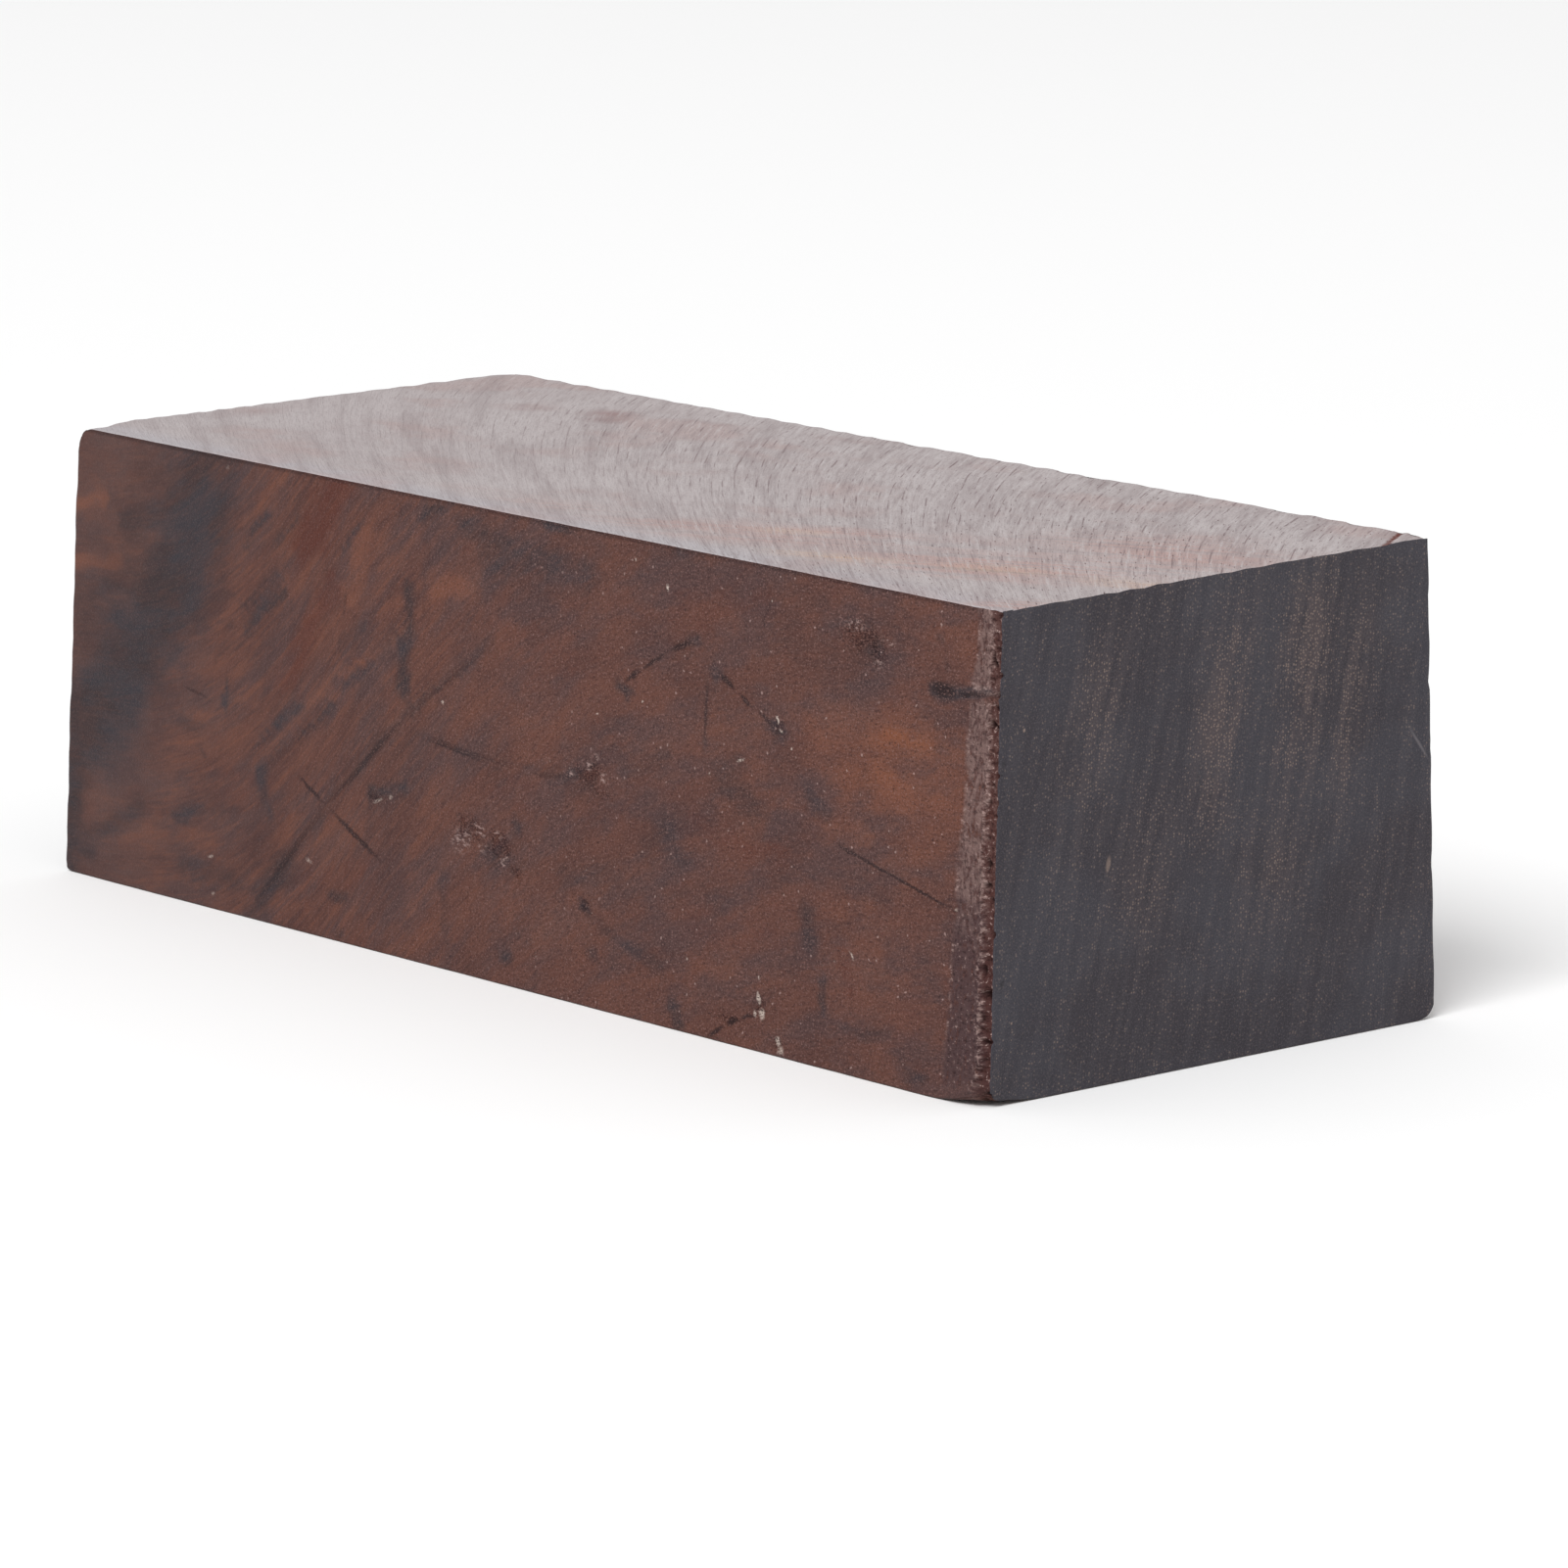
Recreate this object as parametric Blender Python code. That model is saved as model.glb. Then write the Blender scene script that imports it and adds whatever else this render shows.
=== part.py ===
"""A sawn blank of ebony: one solid block, a little out of square, as the saw left it.

Frame: +X runs along the grain towards the sanded end, -Y is the planed side,
+Z is up. The origin is at the middle of the underside. Lengths are in metres.
"""

import math

import bmesh
import bpy
from mathutils import Vector, noise

MM = 0.001

# Nominal size of the blank.
LENGTH = 125 * MM
WIDTH = 50 * MM
HEIGHT = 40 * MM

# How far each sawn corner falls short of the nominal block along X, Y and Z.
# The keys say right or left, back or front, top or bottom.
RIGHT, LEFT = 1, -1
BACK, FRONT = 1, -1
TOP, BOTTOM = 1, 0
CORNER_SHORT = {
    (RIGHT, FRONT, TOP): (0.00, 1.88, 0.53),
    (RIGHT, FRONT, BOTTOM): (0.20, 0.00, 0.00),
    (RIGHT, BACK, TOP): (1.32, 0.95, 0.00),
    (RIGHT, BACK, BOTTOM): (0.88, 0.24, 0.00),
    (LEFT, FRONT, TOP): (1.18, 1.67, 0.12),
    (LEFT, FRONT, BOTTOM): (0.00, 0.00, 0.00),
    (LEFT, BACK, TOP): (1.30, 0.00, 0.04),
    (LEFT, BACK, BOTTOM): (0.30, 0.00, 0.00),
}

# Radius of every edge, and of each corner that handling has worn rounder.
EDGE_RADIUS = 0.25 * MM
CORNER_RADIUS = {
    (RIGHT, FRONT, TOP): 0.3 * MM,
    (RIGHT, FRONT, BOTTOM): 0.8 * MM,
    (RIGHT, BACK, TOP): 0.7 * MM,
    (RIGHT, BACK, BOTTOM): 1.5 * MM,
    (LEFT, FRONT, TOP): 1.8 * MM,
    (LEFT, FRONT, BOTTOM): 1.1 * MM,
    (LEFT, BACK, TOP): 1.5 * MM,
    (LEFT, BACK, BOTTOM): 1.2 * MM,
}
CORNER_REACH = 2.6
CORNER_FADE = 1.4

# Ridges that the saw left across the top.
RIDGE_PITCH = 2.5 * MM
RIDGE_DEPTH = 0.17 * MM
RIDGE_ANGLE = math.radians(-55)
RIDGE_ROW = 10 * MM
RIDGE_FADE = 2 * MM

# Strip of the planed side that broke out along the sanded end.
BREAK_WIDTH_TOP = 2.7 * MM
BREAK_WIDTH_BOTTOM = 3.9 * MM
BREAK_STEP = 0.22 * MM
BREAK_DEPTH_TOP = 0.15 * MM
BREAK_DEPTH_BOTTOM = 0.85 * MM
BREAK_ROUGHNESS = 0.14 * MM
BREAK_ROW = 1.5 * MM
BREAK_LINES = (3.3 * MM, 3.9 * MM)
BREAK_REACH = 4.5 * MM

# The lower corner under the broken strip is knocked up off the table.
KNOCKED_CORNER_LIFT = 0.5 * MM
KNOCKED_CORNER_REACH = 7 * MM

# Nicks along the upright edge between the sanded end and the back:
# height above the underside, depth and half width.
NICKS = ((28.2 * MM, 0.22 * MM, 0.8 * MM), (12.9 * MM, 0.12 * MM, 1.0 * MM))

# Waves that the saw left down the other end, each with its depth and length.
END_WAVES = ((0.05 * MM, 18 * MM), (0.04 * MM, 9.3 * MM), (0.03 * MM, 4.6 * MM))
END_WAVE_ROW = 2.3 * MM

# Lines cut parallel to every edge, by distance from it, for the round corners.
NEAR_LINES = (0.25 * MM, 0.9 * MM, 2.0 * MM, 4.5 * MM)
FACE_GRID = 12.5 * MM
TINY = 1e-6
CLOSE = 0.03 * MM


def clear_scene():
    for old in list(bpy.data.objects):
        bpy.data.objects.remove(old, do_unlink=True)


def smooth(x):
    """0 below 0, 1 above 1, and an easy curve between."""
    x = min(max(x, 0.0), 1.0)
    return x * x * (3 - 2 * x)


def rough(place, size):
    """Even noise between about -1 and 1 that changes over a length of size."""
    return noise.noise(place / size)


def slice_faces(bm, faces, axis, places):
    """Cuts the faces along planes square to axis, through each place on it."""
    for place in places:
        geometry = set(faces)
        for face in faces:
            geometry.update(face.edges)
            geometry.update(face.verts)
        cut = bmesh.ops.bisect_plane(
            bm, geom=list(geometry), dist=TINY, plane_co=axis * place, plane_no=axis
        )
        faces = [g for g in cut["geom"] if isinstance(g, bmesh.types.BMFace)]


def lines_near_edges(half):
    """Places of the lines beside the two edges at -half and +half."""
    return [side * (half - near) for side in (-1, 1) for near in NEAR_LINES]


def even_lines(low, high, pitch):
    """Evenly spaced places between low and high, both left out."""
    count = max(1, round((high - low) / pitch))
    return [low + (high - low) * i / count for i in range(1, count)]


def nominal_block():
    """The nominal block as a box, cut into the faces that the details need."""
    bm = bmesh.new()
    bmesh.ops.create_cube(bm, size=1.0)
    for vert in bm.verts:
        vert.co = Vector((vert.co.x * LENGTH, vert.co.y * WIDTH, vert.co.z * HEIGHT))
        vert.co.z += HEIGHT / 2
    x_axis, y_axis, z_axis = Vector((1, 0, 0)), Vector((0, 1, 0)), Vector((0, 0, 1))
    slice_faces(bm, bm.faces[:], x_axis, lines_near_edges(LENGTH / 2))
    slice_faces(bm, bm.faces[:], y_axis, lines_near_edges(WIDTH / 2))
    slice_faces(
        bm, bm.faces[:], z_axis, [z + HEIGHT / 2 for z in lines_near_edges(HEIGHT / 2)]
    )
    cut_side_grid(bm)
    cut_break_and_nick_rows(bm)
    cut_saw_ridges(bm)
    return bm


def cut_side_grid(bm):
    """A wide grid on the faces other than the top, so that they can twist."""
    half_length, half_width = LENGTH / 2, WIDTH / 2
    plain = [f for f in bm.faces if f.normal.z < 0.5]
    slice_faces(bm, plain, Vector((1, 0, 0)), even_lines(-half_length, half_length, FACE_GRID))
    plain = [f for f in bm.faces if f.normal.z < 0.5]
    slice_faces(bm, plain, Vector((0, 1, 0)), even_lines(-half_width, half_width, FACE_GRID))
    plain = [f for f in bm.faces if f.normal.z < 0.5]
    slice_faces(bm, plain, Vector((0, 0, 1)), even_lines(0, HEIGHT, FACE_GRID))


def cut_break_and_nick_rows(bm):
    """Short rows down the upright edges, for the break, the nicks and the waves."""
    strip = [f for f in bm.faces if in_break_strip(f)]
    slice_faces(bm, strip, Vector((1, 0, 0)), [LENGTH / 2 - line for line in BREAK_LINES])
    strip = [f for f in bm.faces if in_break_strip(f) and abs(f.normal.z) < 0.5]
    slice_faces(bm, strip, Vector((0, 0, 1)), even_lines(0, HEIGHT, BREAK_ROW))
    nicked = [f for f in bm.faces if abs(f.normal.z) < 0.5 and beside_nicks(f)]
    rows = [height + side * half for height, _, half in NICKS for side in (-1, 0, 1)]
    slice_faces(bm, nicked, Vector((0, 0, 1)), rows)
    waved = [f for f in bm.faces if f.normal.x < -0.5]
    slice_faces(bm, waved, Vector((0, 0, 1)), even_lines(0, HEIGHT, END_WAVE_ROW))


def in_break_strip(face):
    middle = face.calc_center_median()
    return middle.x > LENGTH / 2 - NEAR_LINES[3] and middle.y < -WIDTH / 2 + NEAR_LINES[2]


def beside_nicks(face):
    middle = face.calc_center_median()
    return middle.x > LENGTH / 2 - NEAR_LINES[1] and middle.y > WIDTH / 2 - NEAR_LINES[1]


def cut_saw_ridges(bm):
    """Crest and valley lines of the saw ridges, across the whole top."""
    top = [f for f in bm.faces if f.normal.z > 0.5]
    slice_faces(bm, top, Vector((0, 1, 0)), even_lines(-WIDTH / 2, WIDTH / 2, RIDGE_ROW))
    top = [f for f in bm.faces if f.normal.z > 0.5]
    across = ridge_axis()
    reach = (LENGTH * abs(across.x) + WIDTH * abs(across.y)) / 2
    most = math.floor(reach / (RIDGE_PITCH / 2))
    slice_faces(bm, top, across, [i * RIDGE_PITCH / 2 for i in range(-most, most + 1)])


def ridge_axis():
    """The level direction square to the saw ridges."""
    return Vector((-math.sin(RIDGE_ANGLE), math.cos(RIDGE_ANGLE), 0))


def corner_place(corner):
    return Vector((corner[0] * LENGTH / 2, corner[1] * WIDTH / 2, corner[2] * HEIGHT))


def corner_share(place, corner):
    """How much of a corner's shortfall reaches this place: 1 there, 0 at the others."""
    size = Vector((LENGTH, WIDTH, HEIGHT))
    away = place - corner_place(corner)
    share = 1.0
    for i in range(3):
        share *= 1 - abs(away[i]) / size[i]
    return share


def out_of_square(place):
    """Pulls the corners in by their shortfalls, and everything between in step."""
    move = Vector()
    for corner, short in CORNER_SHORT.items():
        inward = Vector((-corner[0] * short[0], -corner[1] * short[1], -short[2])) * MM
        move += inward * corner_share(place, corner)
    return move


def edge_radius_at(place):
    """The edge radius, which grows towards each worn corner."""
    radius = EDGE_RADIUS
    for corner, worn in CORNER_RADIUS.items():
        away = (place - corner_place(corner)).length
        radius = max(radius, worn * smooth(CORNER_FADE * (1 - away / (worn * CORNER_REACH))))
    return radius


def rounded(place):
    """Moves a place on the sharp box onto the box with rounded edges."""
    radius = edge_radius_at(place)
    middle = Vector((0, 0, HEIGHT / 2))
    half = Vector((LENGTH / 2, WIDTH / 2, HEIGHT / 2))
    inner = Vector()
    for i in range(3):
        reach = half[i] - radius
        inner[i] = min(max(place[i] - middle[i], -reach), reach)
    return middle + inner + (place - middle - inner).normalized() * radius


def saw_ridge_drop(place):
    """How far the top lies below its crests here, a zigzag across the ridges."""
    phase = place.dot(ridge_axis()) / RIDGE_PITCH
    zigzag = 2 * abs(phase - math.floor(phase + 0.5))
    uneven = max(0.75 + 0.5 * rough(place, 9 * MM), 0.2)
    return RIDGE_DEPTH * zigzag * uneven * smooth((place.y + WIDTH / 2) / RIDGE_FADE)


def break_depth(place):
    """How deep the planed side is broken away here, beside the sanded end."""
    height = place.z / HEIGHT
    width = BREAK_WIDTH_BOTTOM + (BREAK_WIDTH_TOP - BREAK_WIDTH_BOTTOM) * height
    width += 0.5 * MM * rough(Vector((0, 0, place.z)), 2.3 * MM)
    inward = (LENGTH / 2 - place.x) / width
    if inward >= 1:
        return 0.0
    deepest = BREAK_DEPTH_BOTTOM + (BREAK_DEPTH_TOP - BREAK_DEPTH_BOTTOM) * height
    depth = BREAK_STEP + (deepest - BREAK_STEP) * (1 - inward)
    depth += BREAK_ROUGHNESS * rough(place, 1.3 * MM)
    behind = (place.y + WIDTH / 2) / BREAK_REACH
    return max(0.0, depth * (1 - behind))


def nick_depth(place):
    """How deep the nicks cut into the upright back edge of the sanded end."""
    if not (place.x > LENGTH / 2 - NEAR_LINES[0] and place.y > WIDTH / 2 - NEAR_LINES[0]):
        return 0.0
    return max(depth * max(0.0, 1 - abs(place.z - height) / half) for height, depth, half in NICKS)


def end_wave(place):
    """How far the saw's waves stand in from the plane of the other end."""
    depth = 0.0
    for wave, length in END_WAVES:
        depth += wave * (1 + math.sin(math.tau * place.z / length))
    return depth * smooth(1 - (place.x + LENGTH / 2) / NEAR_LINES[1])


def carve(place, upwards):
    """Where a point of the nominal block ends up. upwards says that it is on the top."""
    result = rounded(place) + out_of_square(place)
    if upwards:
        result.z -= saw_ridge_drop(place)
    result.x += end_wave(place)
    result.y += break_depth(place) - nick_depth(place)
    away = (place - corner_place((RIGHT, FRONT, BOTTOM))).length
    lift = KNOCKED_CORNER_LIFT * smooth(1 - away / KNOCKED_CORNER_REACH)
    result.z += lift * (1 - place.z / HEIGHT)
    if abs(result.z) < TINY:
        result.z = 0.0
    return result


def ebony():
    """Oiled dark heartwood, red-brown with ink-black figure."""
    material = bpy.data.materials.new("ebony")
    material.use_nodes = True
    shader = material.node_tree.nodes["Principled BSDF"]
    shader.inputs["Base Color"].default_value = (0.12, 0.062, 0.053, 1)
    shader.inputs["Roughness"].default_value = 0.55
    shader.inputs["Metallic"].default_value = 0.0
    return material


def wood_blank(collection):
    """The blank as one closed mesh, carved from its nominal block."""
    bm = nominal_block()
    bmesh.ops.remove_doubles(bm, verts=bm.verts[:], dist=CLOSE)
    bmesh.ops.triangulate(bm, faces=bm.faces[:])
    for vert in bm.verts:
        vert.co = carve(vert.co.copy(), vert.co.z > HEIGHT - TINY)
    mesh = bpy.data.meshes.new("wood_blank")
    bm.to_mesh(mesh)
    bm.free()
    mesh.materials.append(ebony())
    blank = bpy.data.objects.new("wood_blank", mesh)
    collection.objects.link(blank)
    mesh.shade_smooth()
    mesh.set_sharp_from_angle(angle=math.radians(30))
    return blank


def main():
    clear_scene()
    parts = bpy.data.collections.new("ebony blank")
    bpy.context.scene.collection.children.link(parts)
    wood_blank(parts)


main()
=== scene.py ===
"""A sawn blank of ebony on a pale floor, seen from the corner between its planed side and its sanded end."""

import math

import bmesh
import bpy
import numpy as np
from mathutils import Matrix, Vector, noise


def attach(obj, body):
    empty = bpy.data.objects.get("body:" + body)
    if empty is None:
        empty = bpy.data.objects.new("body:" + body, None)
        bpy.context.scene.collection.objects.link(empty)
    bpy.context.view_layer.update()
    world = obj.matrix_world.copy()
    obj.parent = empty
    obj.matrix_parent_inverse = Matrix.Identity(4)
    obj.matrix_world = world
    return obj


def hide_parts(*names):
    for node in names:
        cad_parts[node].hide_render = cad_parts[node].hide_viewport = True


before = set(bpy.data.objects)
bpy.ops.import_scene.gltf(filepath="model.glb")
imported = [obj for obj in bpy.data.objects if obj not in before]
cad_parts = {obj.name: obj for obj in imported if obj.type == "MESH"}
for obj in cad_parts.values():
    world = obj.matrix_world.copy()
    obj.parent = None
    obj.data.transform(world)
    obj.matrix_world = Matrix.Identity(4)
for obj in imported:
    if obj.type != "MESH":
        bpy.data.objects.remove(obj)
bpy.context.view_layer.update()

# The view
# A long lens, well back from the blank, looking a little down on its nearest upright edge.
# The azimuth turns from the planed side towards the sanded end.
MM = 0.001
LONG, DEEP, TALL = 125.0, 50.0, 40.0
LENGTH, WIDTH, HEIGHT = LONG * MM, DEEP * MM, TALL * MM
VIEW_AZIMUTH = math.radians(50.52)
VIEW_ELEVATION = math.radians(11.07)
VIEW_ROLL = math.radians(-0.40)
VIEW_DISTANCE = 747.7 * MM
VIEW_RIGHT = 5.10 * MM
VIEW_UP = -6.24 * MM
SENSOR = 36.0
LENS = 202.1


def look_at_blank():
    """The camera's place and turn: where it looks is shifted a little right of and below the middle."""
    back = Vector((
        math.sin(VIEW_AZIMUTH) * math.cos(VIEW_ELEVATION),
        -math.cos(VIEW_AZIMUTH) * math.cos(VIEW_ELEVATION),
        math.sin(VIEW_ELEVATION),
    ))
    right = (-back).cross(Vector((0, 0, 1))).normalized()
    up = right.cross(-back)
    middle = Vector((0, 0, HEIGHT / 2))
    place = middle + VIEW_RIGHT * right + VIEW_UP * up + VIEW_DISTANCE * back
    rolled = Matrix.Rotation(VIEW_ROLL, 3, back)
    turn = Matrix((rolled @ right, rolled @ up, back)).transposed()
    return Matrix.Translation(place) @ turn.to_4x4()


bpy.ops.object.select_all(action="DESELECT")
bpy.ops.object.camera_add()
camera = bpy.context.object
camera.name = "camera"
camera.matrix_world = look_at_blank()
camera.data.sensor_width = SENSOR
camera.data.lens = LENS
camera.data.clip_start = 0.01
camera.data.clip_end = 20
bpy.context.scene.camera = camera

# The floor and the light
# A white tabletop that runs out of sight, under one large soft lamp over the nearest edge
# and even white light from all round.
FLOOR_SIZE = 8.0
FLOOR_GAP = 0.02 * MM
FLOOR_WHITE = (0.96, 0.96, 0.96, 1)
LAMP_PLACE = Vector((1.2, -2.5, 3.1))
LAMP_SIZE = 2.2
LAMP_WATTS = 130.0
ROUND_LIGHT = 0.6

bpy.ops.mesh.primitive_plane_add(size=FLOOR_SIZE, location=(0, 0, -FLOOR_GAP))
floor = bpy.context.object
floor.name = "floor"
floor_paint = bpy.data.materials.new("floor_white")
floor_paint.use_nodes = True
floor_shader = floor_paint.node_tree.nodes["Principled BSDF"]
floor_shader.inputs["Base Color"].default_value = FLOOR_WHITE
floor_shader.inputs["Roughness"].default_value = 0.9
floor_shader.inputs["Specular IOR Level"].default_value = 0.2
floor.data.materials.append(floor_paint)

bpy.ops.object.light_add(type="AREA", location=LAMP_PLACE)
lamp = bpy.context.object
lamp.name = "soft_lamp"
lamp.data.size = LAMP_SIZE
lamp.data.energy = LAMP_WATTS
lamp.rotation_euler = LAMP_PLACE.to_track_quat("Z", "Y").to_euler()

world = bpy.data.worlds.new("white_room")
bpy.context.scene.world = world
world.use_nodes = True
world_nodes = world.node_tree.nodes
world_nodes.clear()
seen = world_nodes.new("ShaderNodeLightPath")
room = world_nodes.new("ShaderNodeBackground")
room.inputs["Strength"].default_value = ROUND_LIGHT
backdrop = world_nodes.new("ShaderNodeBackground")
either = world_nodes.new("ShaderNodeMixShader")
world_end = world_nodes.new("ShaderNodeOutputWorld")
for background in (room, backdrop):
    background.inputs["Color"].default_value = (1, 1, 1, 1)
world.node_tree.links.new(seen.outputs["Is Camera Ray"], either.inputs[0])
world.node_tree.links.new(room.outputs[0], either.inputs[1])
world.node_tree.links.new(backdrop.outputs[0], either.inputs[2])
world.node_tree.links.new(either.outputs[0], world_end.inputs["Surface"])
bpy.context.scene.view_settings.view_transform = "Standard"

# The blank's form
# One piece of ebony heartwood, ripped and crosscut to 125 x 50 x 40 mm, so no corner is quite
# square. One long side is planed and oiled, the right end is sanded, and the rest is as sawn.
# Every measure is taken on the nominal block, and the carving moves its points from there.
RIGHT, LEFT = 1, -1
BACK, FRONT = 1, -1
TOP, BOTTOM = 1, 0
# How far each corner falls short of the nominal block: along, across and in height.
CORNER_SHORT = {
    (RIGHT, FRONT, TOP): (0.00, 1.88, 0.53),
    (RIGHT, FRONT, BOTTOM): (0.20, 0.00, 0.00),
    (RIGHT, BACK, TOP): (1.32, 0.95, 0.00),
    (RIGHT, BACK, BOTTOM): (0.88, 0.24, 0.00),
    (LEFT, FRONT, TOP): (1.18, 1.67, 0.12),
    (LEFT, FRONT, BOTTOM): (0.00, 0.00, 0.00),
    (LEFT, BACK, TOP): (1.30, 0.00, 0.04),
    (LEFT, BACK, BOTTOM): (0.30, 0.00, 0.00),
}
# How round each corner is worn. The wear fades over that length times its reach.
CORNER_RADIUS = {
    (RIGHT, FRONT, TOP): 0.3,
    (RIGHT, FRONT, BOTTOM): 1.5,
    (RIGHT, BACK, TOP): 0.7,
    (RIGHT, BACK, BOTTOM): 2.0,
    (LEFT, FRONT, TOP): 2.4,
    (LEFT, FRONT, BOTTOM): 1.0,
    (LEFT, BACK, TOP): 1.3,
    (LEFT, BACK, BOTTOM): 1.2,
}
CORNER_REACH = 3.0
ARRIS_RADIUS = 0.16

# How many equal pieces each length is cut into, in two rounds, and how much the cuts crowd
# towards the edges, where the form is finest.
CUTS = ((16, 14), (12, 7), (15, 5))
CROWDING = (0.30, 0.34, 0.34)
BREAK_CUTS = 3
BREAK_CUTS_REACH = (5.0 * MM, 1.3 * MM)


def crowd(t, amount):
    """Moves evenly spaced places between -1 and 1 closer together near both ends."""
    return t + amount * (t - t**3)


def select_edges(blank, wanted):
    """Selects the edges of a mesh in edit mode for which wanted(edge) is true."""
    bpy.ops.mesh.select_mode(type="EDGE")
    bpy.ops.mesh.select_all(action="DESELECT")
    bm = bmesh.from_edit_mesh(blank.data)
    for edge in bm.edges:
        if wanted(edge):
            edge.select_set(True)
    bmesh.update_edit_mesh(blank.data)


def runs_along(edge, axis):
    across = edge.verts[0].co - edge.verts[1].co
    return abs(across[axis]) > 0.99 * across.length


def beside_break(edge):
    middle = (edge.verts[0].co + edge.verts[1].co) / 2
    near = middle.x > LENGTH / 2 - BREAK_CUTS_REACH[0] and middle.y < -WIDTH / 2 + BREAK_CUTS_REACH[1]
    return near and runs_along(edge, 2)


bpy.ops.object.select_all(action="DESELECT")
bpy.ops.mesh.primitive_cube_add(size=1, location=(0, 0, HEIGHT / 2), scale=(LENGTH, WIDTH, HEIGHT))
blank = bpy.context.object
blank.name = "ebony_blank"
blank.data.name = "ebony_blank"
bpy.ops.object.transform_apply(location=True, rotation=False, scale=True)
bpy.ops.object.mode_set(mode="EDIT")
for axis, rounds in enumerate(CUTS):
    for pieces in rounds:
        select_edges(blank, lambda edge: runs_along(edge, axis))
        bpy.ops.mesh.subdivide(number_cuts=pieces - 1)
bpy.ops.object.mode_set(mode="OBJECT")


def read_places(mesh):
    flat = np.empty(len(mesh.vertices) * 3, np.float32)
    mesh.vertices.foreach_get("co", flat)
    return flat.reshape(-1, 3).astype(float)


def write_places(mesh, places):
    mesh.vertices.foreach_set("co", places.astype(np.float32).ravel())
    mesh.update()


HALF = np.array([LENGTH, WIDTH, HEIGHT]) / 2
MIDDLE = np.array([0, 0, HEIGHT / 2])
even = (read_places(blank.data) - MIDDLE) / HALF
crowded = np.stack([crowd(even[:, i], CROWDING[i]) for i in range(3)], 1)
write_places(blank.data, MIDDLE + crowded * HALF)

bpy.ops.object.mode_set(mode="EDIT")
select_edges(blank, beside_break)
bpy.ops.mesh.subdivide(number_cuts=BREAK_CUTS)
bpy.ops.object.mode_set(mode="OBJECT")

# From here on, places are in millimetres on the nominal block: along, from the front and up.
CENTRE = np.array([LONG, DEEP, TALL]) / 2
ORIGIN = np.array([LONG / 2, DEEP / 2, 0])
nominal = read_places(blank.data) / MM + ORIGIN
along, inward, up = nominal.T
from_right, from_back, from_top = LONG - along, DEEP - inward, TALL - up
ON = 0.001
on_top, on_front, on_back = from_top < ON, inward < ON, from_back < ON
everywhere = np.full(len(nominal), True)


def smooth(x):
    """0 below 0, 1 above 1, and an easy curve between."""
    x = np.clip(x, 0, 1)
    return x * x * (3 - 2 * x)


def wander(where, *sizes, shift=0.0):
    """Smooth noise between about -1 and 1, whose waves have these sizes in millimetres along each measure."""
    found = np.zeros(len(nominal))
    measures = [np.broadcast_to(m, len(nominal)) for m, _ in sizes]
    scaled = np.stack([m / size + shift for m, (_, size) in zip(measures, sizes)], 1)
    if scaled.shape[1] < 3:
        scaled = np.pad(scaled, ((0, 0), (0, 3 - scaled.shape[1])), constant_values=shift + 0.37)
    for i in np.flatnonzero(where):
        found[i] = noise.noise(Vector(scaled[i]))
    return found


def corner_at(corner):
    return np.array([(1 + corner[0]) * LONG / 2, (1 + corner[1]) * DEEP / 2, corner[2] * TALL])


def out_of_square():
    """Pulls the corners in by their shortfalls, and everything between in step."""
    move = np.zeros_like(nominal)
    for corner, short in CORNER_SHORT.items():
        share = np.prod(1 - np.abs(nominal - corner_at(corner)) / (LONG, DEEP, TALL), axis=1)
        move += share[:, None] * np.array([-corner[0] * short[0], -corner[1] * short[1], -short[2]])
    return move


def pulled_in(where, half, radius):
    """Places within half of the middle, moved onto the rounding of the corners between their measures."""
    inner = np.clip(where, -(half - radius), half - radius)
    out = where - inner
    size = np.linalg.norm(out, axis=1)[:, None]
    return inner + out * np.minimum(1, radius / np.maximum(size, 1e-9))


def rounded():
    """The nominal block with its arrises eased, and each corner worn round as its outline shows. On the
    left the wear rounds the planed side's outline, on the right the sanded end's, over a few millimetres."""
    offset = nominal - CENTRE
    radius = ARRIS_RADIUS * (1 + 0.5 * wander(everywhere, (along, 5), (inward, 5), (up, 5)))
    moved = pulled_in(offset, CENTRE, radius[:, None]) - offset
    for corner, worn in CORNER_RADIUS.items():
        kept = 1 if corner[0] == LEFT else 0
        turned = [i for i in range(3) if i != kept]
        away = np.abs(nominal[:, kept] - corner_at(corner)[kept])
        own = np.sign(offset[:, turned]) == np.sign((corner_at(corner) - CENTRE)[turned])
        own = own.all(axis=1) & (away < worn * CORNER_REACH)
        worn_here = worn * (1 - smooth(away / (worn * CORNER_REACH)))[own, None]
        moved[np.ix_(own, turned)] += pulled_in(offset[np.ix_(own, turned)], CENTRE[turned], worn_here)
        moved[np.ix_(own, turned)] -= offset[np.ix_(own, turned)]
    return nominal + moved


# The saw's marks cross the top as shallow arcs, from the back left to the front right. The first pair is
# how far a mark shifts to the left for each millimetre inwards, and how that changes further in. The second
# pair makes the shift smaller towards the right. The last turns a length along the blank into one across
# the marks.
ARC_SHIFT = (1.46, -0.00865)
ARC_SPREAD = (1.158, -0.002)
ARC_ACROSS = 0.72
RIDGE_PITCH = 2.5
RIDGE_DEPTH = 0.11
# Tears along the back edge: where each starts, and its depth.
TEARS = ((57.8, 0.14), (67.4, 0.12), (79.0, 0.10), (82.0, 0.18), (106.1, 0.20), (115.3, 0.14), (122.9, 0.20))
TEAR_LENGTH = 4.5
TEAR_REACH = 1.2


def across_arcs(x, y):
    """How far a place on the top lies from the first saw mark, straight across them."""
    shift = y * (ARC_SHIFT[0] + ARC_SHIFT[1] * y) * (ARC_SPREAD[0] + ARC_SPREAD[1] * x)
    return ARC_ACROSS * (x + shift)


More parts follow.
